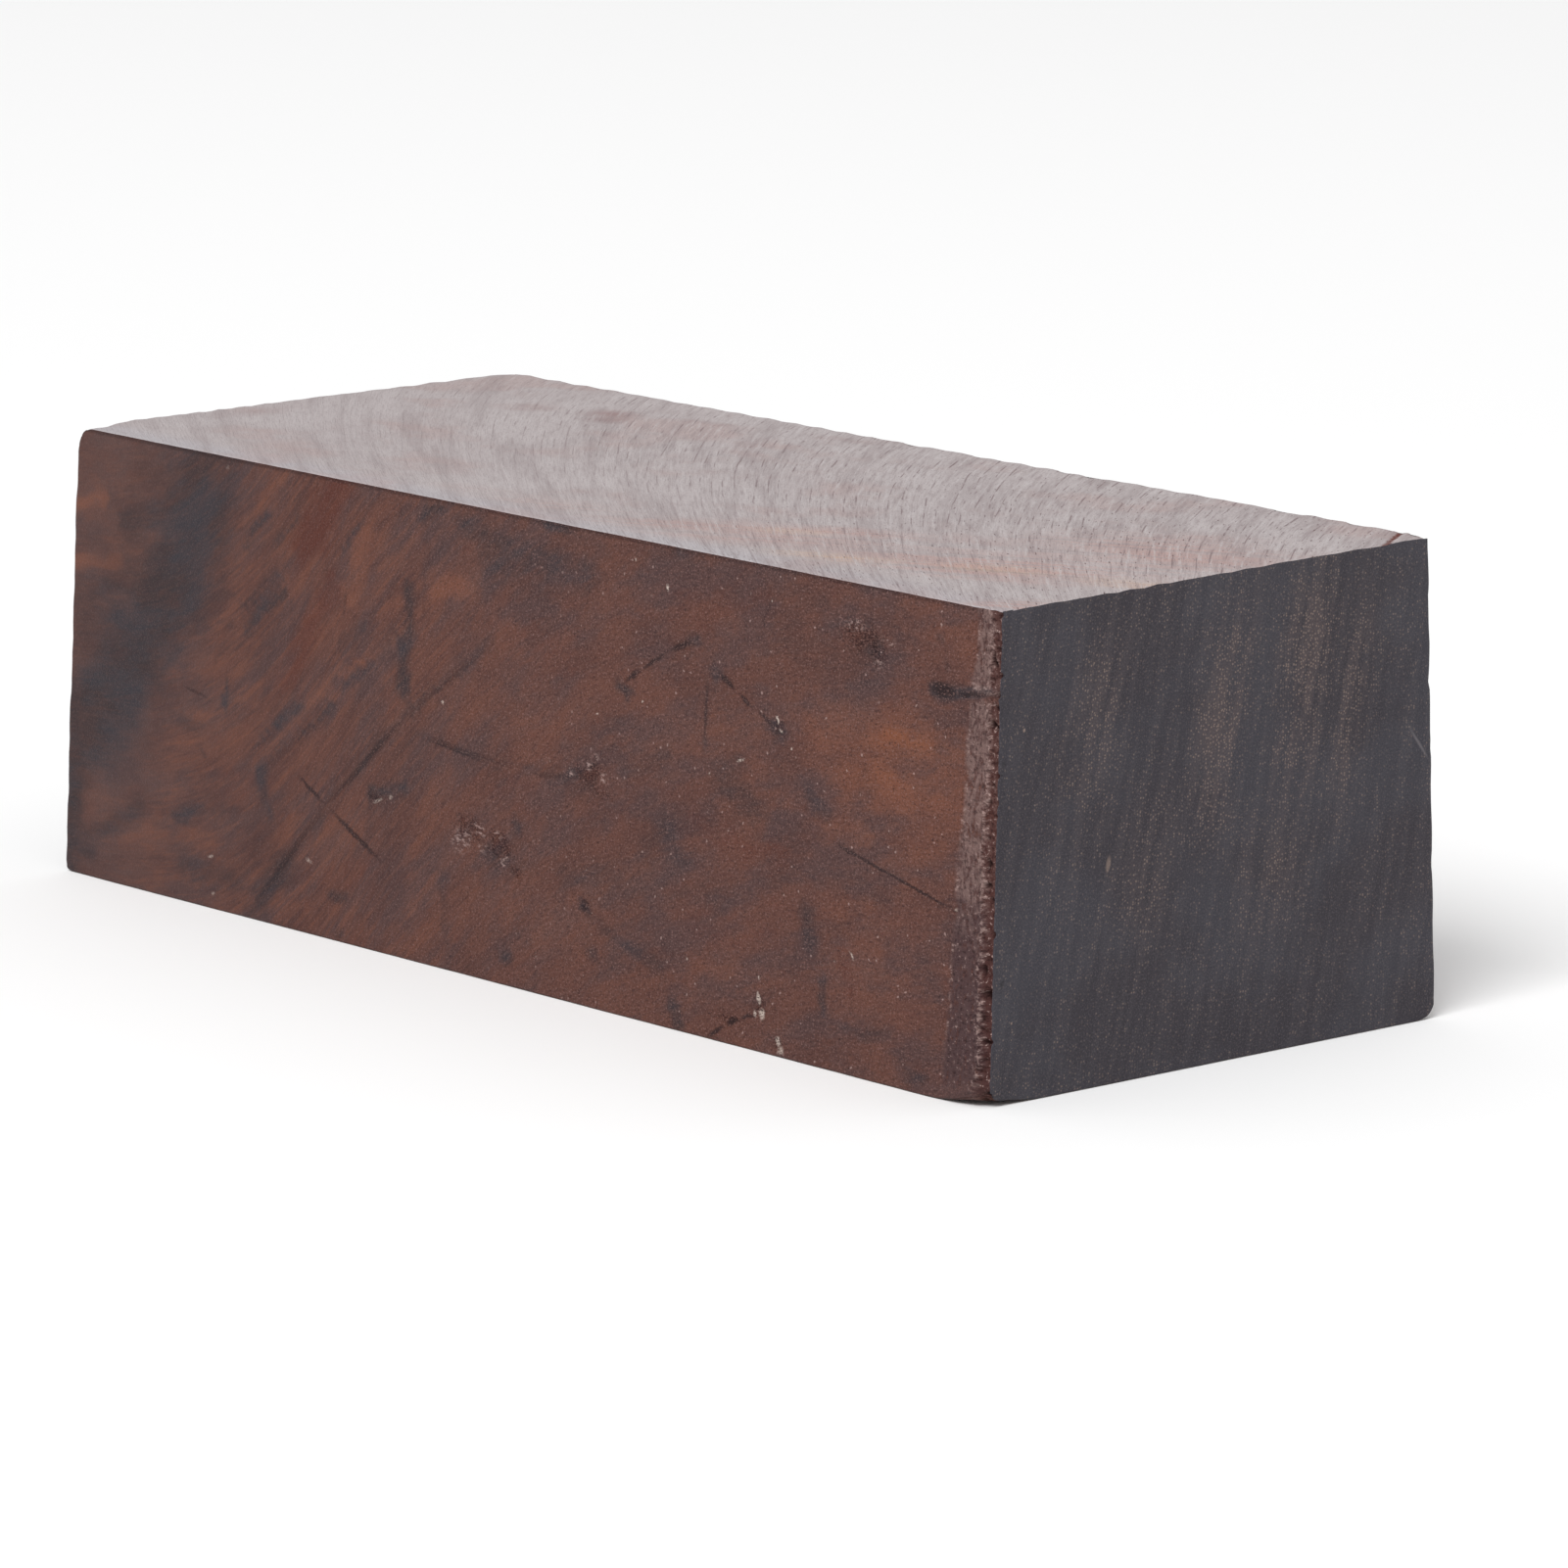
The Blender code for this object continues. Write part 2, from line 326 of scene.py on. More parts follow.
def sawn_top_drop():
    """How far the top lies under its crests: the saw's ridges, torn fibres, and tears at the back edge."""
    out = across_arcs(along, inward)
    phase = out / RIDGE_PITCH + 0.35 * wander(on_top, (along, 16), (inward, 16), shift=3.1)
    ridges = 2 * np.abs(phase - np.floor(phase + 0.5))
    strength = np.clip(0.6 + 0.9 * wander(on_top, (along, 11), (inward, 9), shift=7.7), 0.1, 1.3)
    fibres = 0.5 + 0.5 * wander(on_top, (out, 1.5), (inward, 7), shift=1.3)
    fibres += 0.35 * wander(on_top, (out, 0.8), (inward, 3), shift=9.1)
    drop = RIDGE_DEPTH * strength * ridges + 0.07 * fibres
    for x, depth in TEARS:
        fall = (along - x) / TEAR_LENGTH
        drop += depth * np.where(fall < 0, 0, np.clip(1 - fall, 0, 1)) * smooth(1 - from_back / TEAR_REACH)
    return np.where(on_top, drop * (0.12 + 0.88 * smooth(inward / 2.0)), 0)


BACK_LEAN = math.radians(62)


def sawn_back_drop():
    """The same saw's straighter marks down the back."""
    across = (along * math.sin(BACK_LEAN) + up * math.cos(BACK_LEAN)) / RIDGE_PITCH
    across += 0.4 * wander(on_back, (along, 14), (up, 14), shift=5.3)
    ridges = 2 * np.abs(across - np.floor(across + 0.5))
    rough = 0.5 + 0.5 * wander(on_back, (along, 1.8), (up, 2.4), shift=2.2)
    return np.where(on_back, (0.09 * ridges + 0.06 * rough) * smooth(up / 1.5), 0)


# The planed side broke out along the sanded end: a scuffed step, a ragged lip and a torn edge. It stayed
# nearly whole at one height, a little below the top, and at the very bottom.
BREAK_REACH = 4.5
BREAK_WIDEST = 7.0
BREAK_WIDTH_TOP, BREAK_WIDTH_BOTTOM = 2.6, 5.2
LIP_WIDTH = 0.9
WHOLE_FROM_TOP = 7.0
STEP_DEPTH = 0.14
TORN_DEPTH_TOP, TORN_DEPTH_BOTTOM = 0.16, 0.80


def break_parts():
    """How deep the broken strip is, how scuffed and how torn it is, at every place beside that edge."""
    near = (from_right < BREAK_WIDEST) & (inward < BREAK_REACH)
    width = BREAK_WIDTH_BOTTOM + (BREAK_WIDTH_TOP - BREAK_WIDTH_BOTTOM) * up / TALL
    width += 0.45 * wander(near, (up, 3.1), (up, 99), shift=4.4)
    width += 0.2 * wander(near, (up, 0.8), (up, 99), shift=8.8)
    lip = LIP_WIDTH + 0.45 * wander(near, (up, 1.9), (up, 99), shift=6.1)
    lip += 0.3 * wander(near, (up, 0.6), (up, 99), shift=2.9)
    whole = smooth(1 - np.abs(from_top - WHOLE_FROM_TOP) / 1.1) + smooth(1 - up / 2.2)
    scuffed = smooth((width - from_right) / 0.35) * (1 - 0.9 * np.clip(whole, 0, 1))
    torn = smooth((lip - from_right) / 0.3)
    deepest = TORN_DEPTH_BOTTOM + (TORN_DEPTH_TOP - TORN_DEPTH_BOTTOM) * up / TALL
    bite = 0.5 + 0.5 * wander(near, (from_right, 0.55), (inward, 0.55), (up, 0.55), shift=1.7)
    pits = smooth(2.6 * wander(near, (from_right, 0.45), (inward, 0.6), (up, 0.8), shift=5.9) - 0.35)
    fall = (deepest - STEP_DEPTH) * smooth(1 - from_right / 1.6)
    depth = STEP_DEPTH * scuffed + torn * (fall + 0.14 * bite)
    depth += 0.30 * pits * torn + 0.04 * scuffed * wander(near, (from_right, 0.9), (up, 0.7), shift=3.3)
    depth -= 0.10 * scuffed * smooth(1 - np.abs(from_right - lip) / 0.22)
    fade = np.clip(1 - inward / BREAK_REACH, 0, 1)
    crest = smooth(1 - np.abs(from_right - lip - 0.1) / 0.4) * scuffed
    return np.where(near, depth * fade, 0), scuffed * near, torn * near, pits * torn * near, crest * near


# Places where chips came out of the planed side: along, up, half length, half height and depth.
CHIPS = (
    (58.5, 12.4, 2.4, 1.2, 0.072), (62.6, 11.6, 2.2, 1.7, 0.096), (65.2, 9.9, 1.0, 0.7, 0.060),
    (74.0, 19.6, 2.2, 1.0, 0.060), (76.2, 18.2, 0.9, 0.6, 0.048), (108.6, 35.8, 2.6, 1.3, 0.066),
    (110.8, 34.6, 1.2, 0.9, 0.060), (98.5, 26.9, 0.9, 0.8, 0.072), (97.5, 4.0, 0.6, 1.1, 0.096),
    (99.8, 1.3, 0.6, 0.8, 0.108), (45.8, 13.2, 1.8, 0.5, 0.060), (74.6, 8.5, 0.9, 0.9, 0.096),
    (93.4, 2.2, 1.8, 0.35, 0.090),
)


def chip_parts():
    """How deep the chips are and how torn the wood in them is."""
    ragged = 0.5 * wander(on_front, (along, 1.1), (up, 1.1), shift=0.9)
    ragged += 0.3 * wander(on_front, (along, 0.5), (up, 0.5), shift=3.8)
    depth = np.zeros(len(nominal))
    torn = np.zeros(len(nominal))
    for x, z, long, high, deep in CHIPS:
        away = np.hypot((along - x) / long, (up - z) / high) + ragged
        inside = smooth((1 - away) / 0.35)
        depth = np.maximum(depth, deep * inside)
        torn = np.maximum(torn, inside)
    return depth * on_front, torn * on_front


# A split at the top of the far corner, from the sanded end to the back.
SPLIT_FROM = (125.0, 44.6)
SPLIT_TO = (121.6, 50.0)
SPLIT_DEPTH = 0.28


def split_share():
    """How much each place lies in the corner's split, a ragged groove in the top."""
    a, b = np.array(SPLIT_FROM), np.array(SPLIT_TO)
    unit = (b - a) / np.linalg.norm(b - a)
    x, y = along - a[0], inward - a[1]
    aside = np.abs(x * unit[1] - y * unit[0]) + 0.15 * wander(on_top, (along, 0.8), (inward, 0.8), shift=6.6)
    return np.where(on_top, smooth(1 - aside / 0.42), 0)


# Waves down the left end: the depth of each kind, its length and its start.
END_WAVES = ((0.05, 18.0, 0.3), (0.04, 9.3, 1.9), (0.035, 4.6, 4.0), (0.02, 2.3, 0.8))


def sawn_left_drop():
    """The waves that the saw left down the left end."""
    drop = np.zeros(len(nominal))
    for depth, length, start in END_WAVES:
        drop += depth * (1 + np.sin(math.tau * (up + 0.12 * inward) / length + start))
    return drop * smooth(1 - along / 1.2)


# Nicks in the far upright edge: height, depth and half length.
NICKS = ((28.2, 0.22, 0.7), (22.5, 0.06, 0.5), (12.9, 0.10, 1.0), (35.1, 0.05, 0.6))
NICK_REACH = 1.0


def nick_depth():
    """The small nicks in the far upright edge of the sanded end."""
    depth = np.zeros(len(nominal))
    for z, deep, half in NICKS:
        depth = np.maximum(depth, deep * np.clip(1 - np.abs(up - z) / half, 0, 1))
    return depth * np.clip(1 - from_right / NICK_REACH, 0, 1) * np.clip(1 - from_back / NICK_REACH, 0, 1)


PLANED_DIP = 0.03
KNOCK_RISE = 0.5
KNOCK_REACH = 7.0


def planed_drop():
    """The faint dips that the plane left."""
    drop = PLANED_DIP + 0.035 * wander(on_front, (along, 17), (up, 9), shift=1.1)
    drop += 0.012 * wander(on_front, (along, 3.0), (up, 2.2), shift=4.9)
    return np.where(on_front, drop, 0) * smooth(from_top / 1.5)


def knocked_rise():
    """How far a knock lifted the underside at the corner nearest the camera."""
    away = np.linalg.norm(nominal - corner_at((RIGHT, FRONT, BOTTOM)), axis=1)
    return KNOCK_RISE * smooth(1 - away / KNOCK_REACH) * (1 - up / TALL)


carved = rounded() + out_of_square()
strip_depth, strip_scuffed, strip_torn, strip_pits, strip_lip = break_parts()
chip_depth, chip_torn = chip_parts()
split = split_share()
carved[:, 0] += sawn_left_drop()
carved[:, 1] += strip_depth + chip_depth + planed_drop() - nick_depth() - sawn_back_drop()
carved[:, 2] += knocked_rise() - sawn_top_drop() - SPLIT_DEPTH * split
write_places(blank.data, (carved - ORIGIN) * MM)


def mark(name, values):
    """Keeps a value from 0 to 1 on every point, for the materials to read."""
    marked = blank.data.attributes.new(name, "FLOAT", "POINT")
    marked.data.foreach_set("value", values.astype(np.float32))


mark("scuffed", strip_scuffed)
mark("torn", np.maximum(strip_torn, np.maximum(chip_torn, 0.8 * split)))
mark("pits", strip_pits)
mark("lip", strip_lip)
mark("split", split)

# Each side lies flat on one sheet like an unfolded box, in millimetres from the planed side's
# lower left corner: the top above it, the underside below it and the ends beside it.
NET = 230.0
NET_CORNER = 52.5
PLANED, SAWN, END = 0, 1, 2


def side_of(points):
    """Which side a face of the nominal block lies on, from its corners' places."""
    for i, (low, high) in enumerate((("left", "right"), ("front", "back"), ("bottom", "top"))):
        if np.ptp(points[:, i]) < ON:
            return high if points[0, i] > CENTRE[i] else low
    return "front"


UNFOLD = {
    "front": lambda p: (p[:, 0], p[:, 2]),
    "top": lambda p: (p[:, 0], TALL + p[:, 1]),
    "back": lambda p: (p[:, 0], TALL + DEEP + TALL - p[:, 2]),
    "bottom": lambda p: (p[:, 0], -p[:, 1]),
    "right": lambda p: (LONG + p[:, 1], p[:, 2]),
    "left": lambda p: (-p[:, 1], p[:, 2]),
}
FINISH = {"front": PLANED, "bottom": PLANED, "top": SAWN, "back": SAWN, "right": END, "left": END}

sheet = blank.data.uv_layers.new(name="unfolded")
flat = np.empty((len(blank.data.loops), 2), np.float32)
corners = np.empty(len(blank.data.loops), np.int32)
blank.data.loops.foreach_get("vertex_index", corners)
for face in blank.data.polygons:
    own = slice(face.loop_start, face.loop_start + face.loop_total)
    points = nominal[corners[own]]
    side = side_of(points)
    flat[own] = np.stack(UNFOLD[side](points), 1)
    face.material_index = FINISH[side]
sheet.data.foreach_set("uv", ((flat + NET_CORNER) / NET).astype(np.float32).ravel())
blank.data.shade_smooth()


# The figure of the planed side
# The growth bands and stains that show on the planed side, painted on its points as soft strokes.
# Each stroke is its half width, its strength and a path of places from the left and from the top.
INK_STROKES = (
    (6, 0.88, 19, 4.5, 15, 12.5, 10, 18, 6, 25), (2.9, 1, 17.8, 7, 16.2, 13), (3, 1, 16, 12, 11, 15.8),
    (3.1, 1, 11, 17.5, 9, 23), (2.7, 1, 9, 21.5, 3, 23.5), (4, 0.75, 6, 25, 1.5, 30),
    (1.9, 0.7, 16, 5.4, 8, 7.6), (2, 0.55, 0.5, 14.6, 8, 13.8), (2.5, 0.8, 0.4, 24, 0.8, 32, 0.2, 40),
    (8, 0.45, 20, 1, 14, 6, 6, 18), (2, 0.5, 2, 18.5, 8, 17.5), (1.1, 0.35, 1, 9, 9, 8.8),
    (1.7, 0.5, 23.5, 2, 18, 5), (0.7, 0.7, 16, 0.2, 24, 0.3), (1.3, 0.62, 0, 36.8, 5, 35.8, 11.5, 32.7),
    (1.2, 0.55, 0, 38.2, 4, 37.6), (0.6, 0.5, 10, 32.9, 14, 32), (0.75, 0.75, 16.5, 32.7, 20.8, 31.4),
    (0.7, 0.4, 20.8, 31.4, 25, 31), (1.5, 0.5, 18.5, 36.8, 26, 37.2), (2, 0.7, 33, 34.5, 29.5, 38),
    (1.1, 0.5, 27.5, 39.5, 32, 37),
    (0.9, 0.45, 27.6, 39.8, 32, 35.2, 38.4, 28.6, 43, 24, 47, 20.4, 50.4, 18.2),
    (1.2, 0.45, 43, 24.2, 46.5, 20.6), (0.75, 0.6, 50.2, 18.4, 56, 14.4, 60.5, 11.6),
    (0.9, 0.55, 57.5, 13.2, 60.6, 11.4), (1.6, 0.3, 50.5, 19, 46, 23.5),
    (0.5, 0.8, 23.7, 19.8, 23, 21.2, 23.6, 22.3), (0.95, 0.75, 29.2, 26.4, 29.6, 29),
    (0.6, 0.6, 30.2, 30.2, 30.4, 30.4), (0.6, 0.55, 20, 26, 20.8, 26.6), (0.5, 0.6, 15, 24.4, 20.5, 24.1),
    (0.65, 0.8, 26.3, 14.4, 28.4, 12.4, 31.8, 10.9), (0.55, 0.6, 25.5, 12.8, 29, 10.2, 31, 9.4),
    (0.55, 0.75, 28.2, 24.4, 31, 22.4, 34.8, 20.4), (0.4, 0.5, 30, 25.3, 33, 23.5),
    (0.5, 0.7, 34.5, 22.9, 39, 19.8), (0.65, 0.7, 25.8, 7.2, 28.8, 4.2), (0.6, 0.65, 30, 6.6, 33.2, 3.8),
    (0.7, 0.5, 22, 5.5, 25.5, 2.5), (0.45, 0.6, 39.6, 6, 42.2, 3.2), (0.6, 0.5, 20.5, 10, 24.5, 8.3),
    (0.7, 0.5, 19.5, 13.2, 24.5, 11.6), (0.6, 0.5, 17, 16.4, 24, 14.4), (0.6, 0.4, 22, 17.6, 27, 15),
    (0.7, 0.55, 39.8, 14.2, 43.5, 12), (0.75, 0.65, 41, 17.6, 43, 16.2),
    (0.7, 0.55, 43.6, 16.2, 47.5, 12.2), (0.85, 0.85, 48.9, 8.2, 49.6, 12.6),
    (1.1, 0.95, 48.6, 13.2, 48.8, 16.8), (0.9, 0.4, 50, 8.6, 48.6, 10.4),
    (0.55, 0.85, 44.6, 26.6, 49.6, 24.9), (0.9, 0.4, 46.5, 26, 50, 25.6), (0.7, 0.7, 39.3, 36.2, 41.6, 36),
    (0.6, 0.6, 40.5, 39.4, 41.2, 39.2), (0.8, 0.45, 55.2, 32, 55.8, 37.8), (0.7, 0.8, 51, 1.6, 53.4, 0.5),
    (1.3, 0.6, 56, 1.8, 63, 3), (2, 0.6, 60, 4.3, 66, 3.4, 74, 3.8), (1.6, 0.5, 59, 6.4, 63.6, 4.6),
    (1.1, 0.5, 62.6, 3.8, 65.8, 3.6), (3.6, 0.3, 54, 3, 72, 5), (0.5, 0.8, 67.8, 0.3, 70.6, 0.4),
    (0.6, 0.6, 85.6, 0.6, 85.9, 0.7), (0.45, 0.45, 50.5, 20.4, 61, 21.5, 68, 20.9, 73.5, 19.9),
    (1.2, 0.5, 68.8, 21.3, 75, 21.6), (0.5, 0.4, 76, 15.4, 83.5, 14.6), (0.6, 0.9, 77.6, 12.2, 79, 12.9),
    (0.7, 0.75, 86.8, 7.7, 87.9, 7.3), (0.8, 0.6, 89.9, 9.4, 91, 9.9), (0.4, 0.5, 89.4, 10, 89.2, 16),
    (0.9, 0.75, 97.8, 13, 99.2, 13.6), (0.8, 0.25, 99, 16, 103, 16.8), (1.3, 0.55, 82, 18.4, 84, 17.6),
    (1.1, 0.4, 79, 19.5, 82, 18.8), (2, 0.5, 84, 23.4, 86.6, 25.6), (1.8, 0.35, 82, 25.8, 88, 24),
    (2, 0.55, 92, 18.2, 96, 20.4), (1.6, 0.35, 94, 21, 99, 20.4), (0.9, 0.6, 102.8, 18.2, 105, 19.2),
    (1.7, 0.45, 71.5, 29.2, 78, 28.6), (2, 0.35, 78, 29, 92, 28.2), (1, 0.25, 62, 29.6, 69, 29.4),
    (0.6, 0.4, 98, 26.4, 104, 24.4, 110, 23.8), (1.3, 0.65, 103, 27.6, 103.6, 29.8),
    (0.8, 0.55, 76, 32.6, 80, 33.8, 84.5, 35), (0.75, 1, 74.3, 31.6, 75, 31.8),
    (0.75, 0.75, 63.7, 37.5, 64.3, 37.6), (0.7, 0.6, 75.4, 35.2, 76.2, 35.3),
    (0.9, 0.75, 86.6, 38, 87.2, 39.6), (0.5, 0.7, 105.2, 32.8, 105.4, 35.4),
    (0.75, 0.55, 108, 36.4, 113.5, 35.9), (0.8, 0.6, 116, 39, 118, 38.6),
    (1.2, 0.6, 108.8, 4.6, 110.6, 4.8), (0.4, 0.4, 118, 3, 119, 5.6),
    (0.62, 1, 117.2, 7.1, 119.6, 7.2, 124.9, 6.4), (0.75, 0.8, 117.4, 7.1, 119, 7.3),
    (0.6, 0.5, 93, 16.6, 95, 16.4), (0.7, 0.4, 118.2, 11.6, 119, 12), (1.5, 0.5, 64, 29.8, 61.2, 29.2),
    (0.9, 0.6, 64.4, 26, 65.2, 26.3), (1.6, 0.35, 96, 1.5, 104, 2.4), (5.4, 0.34, 99, 4.6, 109, 6),
    (3.4, 0.24, 55, 1.8, 94, 2.6), (0.6, 0.25, 101.5, 6.8, 105, 5),
)
WARM_STROKES = (
    (1, 0.8, 0, 6.8, 4.2, 6.2), (0.9, 0.85, 0, 11.9, 7, 11.5), (1.5, 0.25, 3, 4.2, 13, 3),
    (2.6, 0.38, 8, 28, 11.5, 25, 19, 24.6), (0.8, 0.35, 9, 36.2, 14, 33.2),
    (1.5, 0.75, 40.8, 9.8, 43.6, 4.4), (1, 0.55, 31.2, 9.2, 33.4, 5.6), (0.8, 0.5, 28, 3.2, 31, 1.2),
    (0.75, 0.7, 39.8, 16.8, 47.6, 12.6), (0.8, 0.6, 33, 22, 38.6, 18.4), (1.3, 0.8, 53, 7.6, 58.6, 6.4),
    (0.9, 0.5, 48, 20.6, 53, 17.6), (0.7, 0.45, 45.5, 17.2, 48, 15.2), (1.6, 0.35, 43, 30.5, 48, 28),
    (1.6, 0.4, 50.5, 33, 52.5, 38.5), (3.4, 0.6, 104, 12.6, 112, 11.8, 122, 12.8),
    (1.3, 0.85, 109.5, 12.2, 116.5, 11.6), (4.4, 0.6, 108, 15, 114, 15.4, 121, 17),
    (1.8, 0.9, 111.5, 14.6, 115, 16.8), (1.4, 0.5, 105, 20.4, 110, 20.2), (1.6, 0.45, 112, 21.6, 120, 20.8),
    (1.8, 0.4, 105, 27.5, 110, 26.8), (2.2, 0.35, 100, 9.5, 106, 10.4), (3, 0.35, 105, 31.5, 120, 31),
    (2.4, 0.35, 62, 10.8, 70, 10.2), (3.2, 0.3, 60, 33, 72, 35), (2.4, 0.3, 78, 36.6, 98, 34),
    (1.8, 0.3, 63, 18, 72, 17.2), (0.9, 0.4, 76, 17.6, 80, 16.8), (2.2, 0.3, 114, 1.5, 121, 3),
    (0.8, 0.4, 35.5, 36, 37, 39), (0.7, 0.35, 30, 14, 33.5, 12.6),
)
RED_STROKES = (
    (2.6, 0.95, 39, 0, 36.5, 4, 34.6, 6.4), (1.3, 0.7, 37.8, 0.5, 36.8, 3.4),
    (1.5, 0.75, 38.6, 9.4, 35.4, 13.2), (1.7, 0.65, 34.4, 14.6, 32, 18.4), (2.4, 0.25, 28.5, 27.5, 22, 30),
    (2.2, 0.3, 66, 10, 71, 11.8), (1.6, 0.4, 88, 23, 100, 23.6), (3.2, 0.35, 86, 4, 96, 3),
    (3, 0.25, 31, 37.5, 44, 33.5), (2, 0.3, 60, 24, 66, 23), (0.9, 0.5, 107.8, 30.5, 108.6, 33),
    (1.4, 0.35, 88, 31, 99, 30.4),
)


def painted(strokes, ragged):
    """How strongly each point of the planed side is painted by the strokes. Noise bends their outlines."""
    push_x = ragged * wander(on_front, (along, 2.6), (up, 2.0), shift=12.5)
    push_x += 0.5 * ragged * wander(on_front, (along, 1.1), (up, 0.9), shift=15.5)
    push_z = ragged * wander(on_front, (along, 3.2), (up, 1.8), shift=18.5)
    here = np.stack([along + push_x, from_top + push_z], 1)
    most = np.zeros(len(nominal))
    for half, strength, *path in strokes:
        path = np.array(path).reshape(-1, 2)
        nearest = np.full(len(nominal), np.inf)
        for start, step in zip(path[:-1], np.diff(path, axis=0)):
            share = np.clip((here - start) @ step / (step @ step), 0, 1)
            nearest = np.minimum(nearest, np.linalg.norm(here - start - share[:, None] * step, axis=1))
        most = np.maximum(most, strength * smooth(1.15 - 0.75 * nearest / half))
    return most * on_front


mark("ink", painted(INK_STROKES, 0.55))
mark("warm", painted(WARM_STROKES, 0.8))
mark("red", painted(RED_STROKES, 0.9))


# The wood's colours
# Ebony heartwood shows three faces: oiled long grain in red-brown and ink, dry pale fibre where
# the saw tore it, and charcoal end grain with rows of tan pores.
VECTOR, NUMBER = "NodeSocketVector", "NodeSocketFloat"


def paints_under(light, sheen):
    """Gives the function that mixes a side's paints from how its wood looks on a screen, red, green and blue
    from 0 to 255. Light is how brightly the side is lit, and sheen is what its shine adds."""

    def paint(*looks):
        values = [c / 255 / 12.92 if c <= 10 else ((c / 255 + 0.055) / 1.055) ** 2.4 for c in looks]
        return (*(max(value - sheen, 0.002) / light for value in values), 1.0)

    return paint


def put(tree, kind, inputs=(), output=0, **settings):
    """Adds a node with its settings and its inputs, each a value or a link, and returns one output."""
    made = tree.nodes.new(kind)
    for name, value in settings.items():
        setattr(made, name, value)
    for key, value in dict(inputs).items():
        if isinstance(value, bpy.types.NodeSocket):
            tree.links.new(value, made.inputs[key])
        else:
            made.inputs[key].default_value = value
    return made.outputs[output]


def sum_of(tree, a, b):
    return put(tree, "ShaderNodeMath", {0: a, 1: b}, operation="ADD")


def product(tree, a, b):
    return put(tree, "ShaderNodeMath", {0: a, 1: b}, operation="MULTIPLY")


def scaled(tree, value, times, plus):
    inputs = {0: value, 1: times, 2: plus}
    return put(tree, "ShaderNodeMath", inputs, operation="MULTIPLY_ADD")


def larger(tree, a, b):
    return put(tree, "ShaderNodeMath", {0: a, 1: b}, operation="MAXIMUM")


def between(tree, value, low, high, start=0.0, end=1.0):
    """An easy change from start to end as the value goes from low to high."""
    inputs = {"Value": value, "From Min": low, "From Max": high, "To Min": start, "To Max": end}
    return put(tree, "ShaderNodeMapRange", inputs, interpolation_type="SMOOTHSTEP")


def tint(tree, share, under, over):
    """Lays one colour over another by a share of 0 to 1."""
    return put(tree, "ShaderNodeMix", {0: share, 6: under, 7: over}, output=2, data_type="RGBA")


def painted_over(tree, colour, *coats):
    """The colour under coats of paint, laid on in turn. Each coat is its paint and its shares, and it is as
    strong as all of them multiplied. A share is a value, or a tuple of what between takes."""
    for paint, *shares in coats:
        strength = None
        for share in shares:
            if isinstance(share, tuple):
                share = between(tree, *share)
            strength = share if strength is None else product(tree, strength, share)
        colour = tint(tree, strength, colour, paint)
    return colour


def flat_place(tree):
    """The place on the unfolded sheet, in millimetres, and how far it is to the right and up."""
    uv = put(tree, "ShaderNodeUVMap", uv_map="unfolded")
    inputs = {"Vector": uv, "Location": (-NET_CORNER, -NET_CORNER, 0), "Scale": (NET, NET, 1)}
    place = put(tree, "ShaderNodeMapping", inputs)
    x = put(tree, "ShaderNodeSeparateXYZ", {0: place}, output="X")
    return place, x, x.node.outputs["Y"]


def start_group(name, inputs, outputs):
    """An empty group of shader nodes with named sockets: the group, what comes in and what goes out."""
    group = bpy.data.node_groups.new(name, "ShaderNodeTree")
    for way, sockets in (("INPUT", inputs), ("OUTPUT", outputs)):
        for socket, kind in sockets.items():
            group.interface.new_socket(name=socket, in_out=way, socket_type=kind)
    return group, group.nodes.new("NodeGroupInput").outputs, group.nodes.new("NodeGroupOutput").inputs


def laid_on(group, given, size):
    """The group's place, moved, turned and stretched by its own inputs."""
    inputs = {"Vector": given["Place"], "Location": given["Middle"]}
    inputs |= {"Rotation": given["Turn"], "Scale": given[size]}
    return put(group, "ShaderNodeMapping", inputs, vector_type="TEXTURE")


LAID = {"Place": VECTOR, "Middle": VECTOR, "Turn": VECTOR}
grain_group, given, ends = start_group(
    "stretched_grain",
    LAID | {"Wave Size": VECTOR, "Detail": NUMBER, "Roughness": NUMBER},
    {"Grain": NUMBER},
)
inputs = {"Vector": laid_on(grain_group, given, "Wave Size"), "Scale": 1.0}
inputs |= {"Detail": given["Detail"], "Roughness": given["Roughness"]}
grain_group.links.new(put(grain_group, "ShaderNodeTexNoise", inputs, noise_dimensions="2D"), ends["Grain"])

spot_group, given, ends = start_group(
    "soft_spot",
    LAID | {"Half Size": VECTOR, "Blur": NUMBER, "Strength": NUMBER},
    {"Spot": NUMBER},
)
within = {0: laid_on(spot_group, given, "Half Size")}
within = put(spot_group, "ShaderNodeTexGradient", within, output="Fac", gradient_type="SPHERICAL")
spot_group.links.new(between(spot_group, within, 0.0, given["Blur"], 0.0, given["Strength"]), ends["Spot"])

dots_group, given, ends = start_group(
    "scattered_dots",
    {"Place": VECTOR, "Dots per mm": NUMBER, "Rim": NUMBER, "Core": NUMBER},
    {"Dot": NUMBER, "Chance": NUMBER},
)
inputs = {"Vector": given["Place"], "Scale": given["Dots per mm"]}
away = put(dots_group, "ShaderNodeTexVoronoi", inputs, voronoi_dimensions="2D")
chance = put(dots_group, "ShaderNodeTexVoronoi", inputs, output="Color", voronoi_dimensions="2D")
dots_group.links.new(between(dots_group, away, given["Rim"], given["Core"]), ends["Dot"])
dots_group.links.new(put(dots_group, "ShaderNodeSeparateColor", {0: chance}), ends["Chance"])

